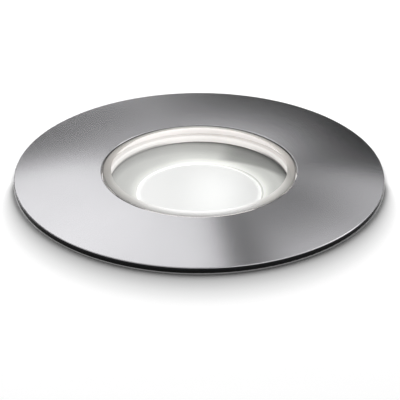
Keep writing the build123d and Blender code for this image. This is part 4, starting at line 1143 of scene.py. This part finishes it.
def panel_edge(light, place, edge, low, high):
    """The light after a smooth step at one edge of the panel, up or down."""
    start = calculate(panel, "SUBTRACT", enter[edge], enter["Soft"])
    end = calculate(panel, "ADD", enter[edge], enter["Soft"])
    step = remap(panel, enter[place], start, end, low, high, smooth=True)
    return times(panel, light, step)


light = panel_edge(enter["Radiance"], "Across", "Left", 0.0, 1.0)
light = panel_edge(light, "Across", "Right", 1.0, 0.0)
light = panel_edge(light, "Along", "Near", 0.0, 1.0)
light = panel_edge(light, "Along", "Far", 1.0, 0.0)
fill(panel, leave, Value=light)
print("panel:", len(panel.nodes), "nodes")

# %% [markdown]
# Five panels light the metal: a wide one behind on the left with slanting sides, a dim one
# far behind, a long one behind on the right, a smaller one beside the light, and one in
# front on the right. A faint light also comes from behind the camera. Matt surfaces find a
# dim even room instead, and light that reaches the inside through the glass a lighter one.

# %% Light the room
white = (1, 1, 1, 1)
slope = 0.065
world = bpy.data.worlds.new("room")
bpy.context.scene.world = world
world.use_nodes = True
tree = world.node_tree
way = new_node(tree, "TexCoord").outputs["Generated"]
rise = calculate(tree, "MAXIMUM", part_of(tree, way, "Z"), 0.001)
across = calculate(tree, "DIVIDE", part_of(tree, way, "X"), rise)
along = calculate(tree, "DIVIDE", part_of(tree, way, "Y"), rise)
slant = calculate(tree, "MULTIPLY_ADD", along, slope, across)
panels = [
    (slant, dict(Left=-0.9, Right=0.11, Near=0.27, Far=2.5, Radiance=1.36, Soft=0.03)),
    (across, dict(Left=-0.2, Right=0.42, Near=2.25, Far=3.8, Radiance=0.6, Soft=0.1)),
    (across, dict(Left=0.40, Right=12.0, Near=0.27, Far=2.24, Radiance=0.84, Soft=0.06)),
    (across, dict(Left=0.21, Right=1.91, Near=0.03, Far=0.79, Radiance=1.19, Soft=0.06)),
    (across, dict(Left=0.3, Right=2.4, Near=-4.0, Far=-0.9, Radiance=0.9, Soft=0.1)),
]
total = 0.0
for place, values in panels:
    one = place_group(tree, panel, Across=place, Along=along, **values)
    total = calculate(tree, "ADD", total, one)
forward = part_of(tree, heading(tree, "Generated"), "Y")
behind = remap(tree, forward, 0.6, -0.1, high=0.55, smooth=True)
everywhere = calculate(tree, "ADD", total, behind)
studio = new_node(tree, "Background", Color=white, Strength=everywhere)
even = new_node(tree, "Background", Color=white, Strength=0.25)
through = new_node(tree, "Background", Color=white, Strength=0.75)
seen = tree.nodes["Background"]
fill(tree, seen, Color=white, Strength=1.0)
ray = new_node(tree, "LightPath").outputs
for_metal = new_node(tree, "MixShader", ray["Is Glossy Ray"], even, studio)
inside = new_node(tree, "MixShader", ray["Is Transmission Ray"], for_metal, through)
room = new_node(tree, "MixShader", ray["Is Camera Ray"], inside, seen)
fill(tree, tree.nodes["World Output"], Surface=room)
print("room:", len(panels), "panels")

# %% [markdown]
# One large square lamp behind the light throws the soft shadow. The metal doesn't mirror
# it, and it stays out of the glass.

# %% Hang the lamp
box_azimuth, box_elevation = math.radians(95), math.radians(50)
box_distance, box_width, box_height = 1.2, 1.4, 0.9
box_radiance = 4.9
lamp_data = bpy.data.lights.new("back_box", "AREA")
lamp_data.shape = "RECTANGLE"
lamp_data.size = box_width
lamp_data.size_y = box_height
lamp_data.energy = box_radiance * math.pi * box_width * box_height
lamp = bpy.data.objects.new("back_box", lamp_data)
bpy.context.scene.collection.objects.link(lamp)
out = Vector((
    math.cos(box_azimuth) * math.cos(box_elevation),
    math.sin(box_azimuth) * math.cos(box_elevation),
    math.sin(box_elevation),
))
lamp.location = out * box_distance
lamp.rotation_euler = out.to_track_quat("Z", "Y").to_euler()
lamp.visible_glossy = False
lamp.visible_transmission = False
print("lamp:", lamp.name, "at", [round(value, 2) for value in lamp.location])
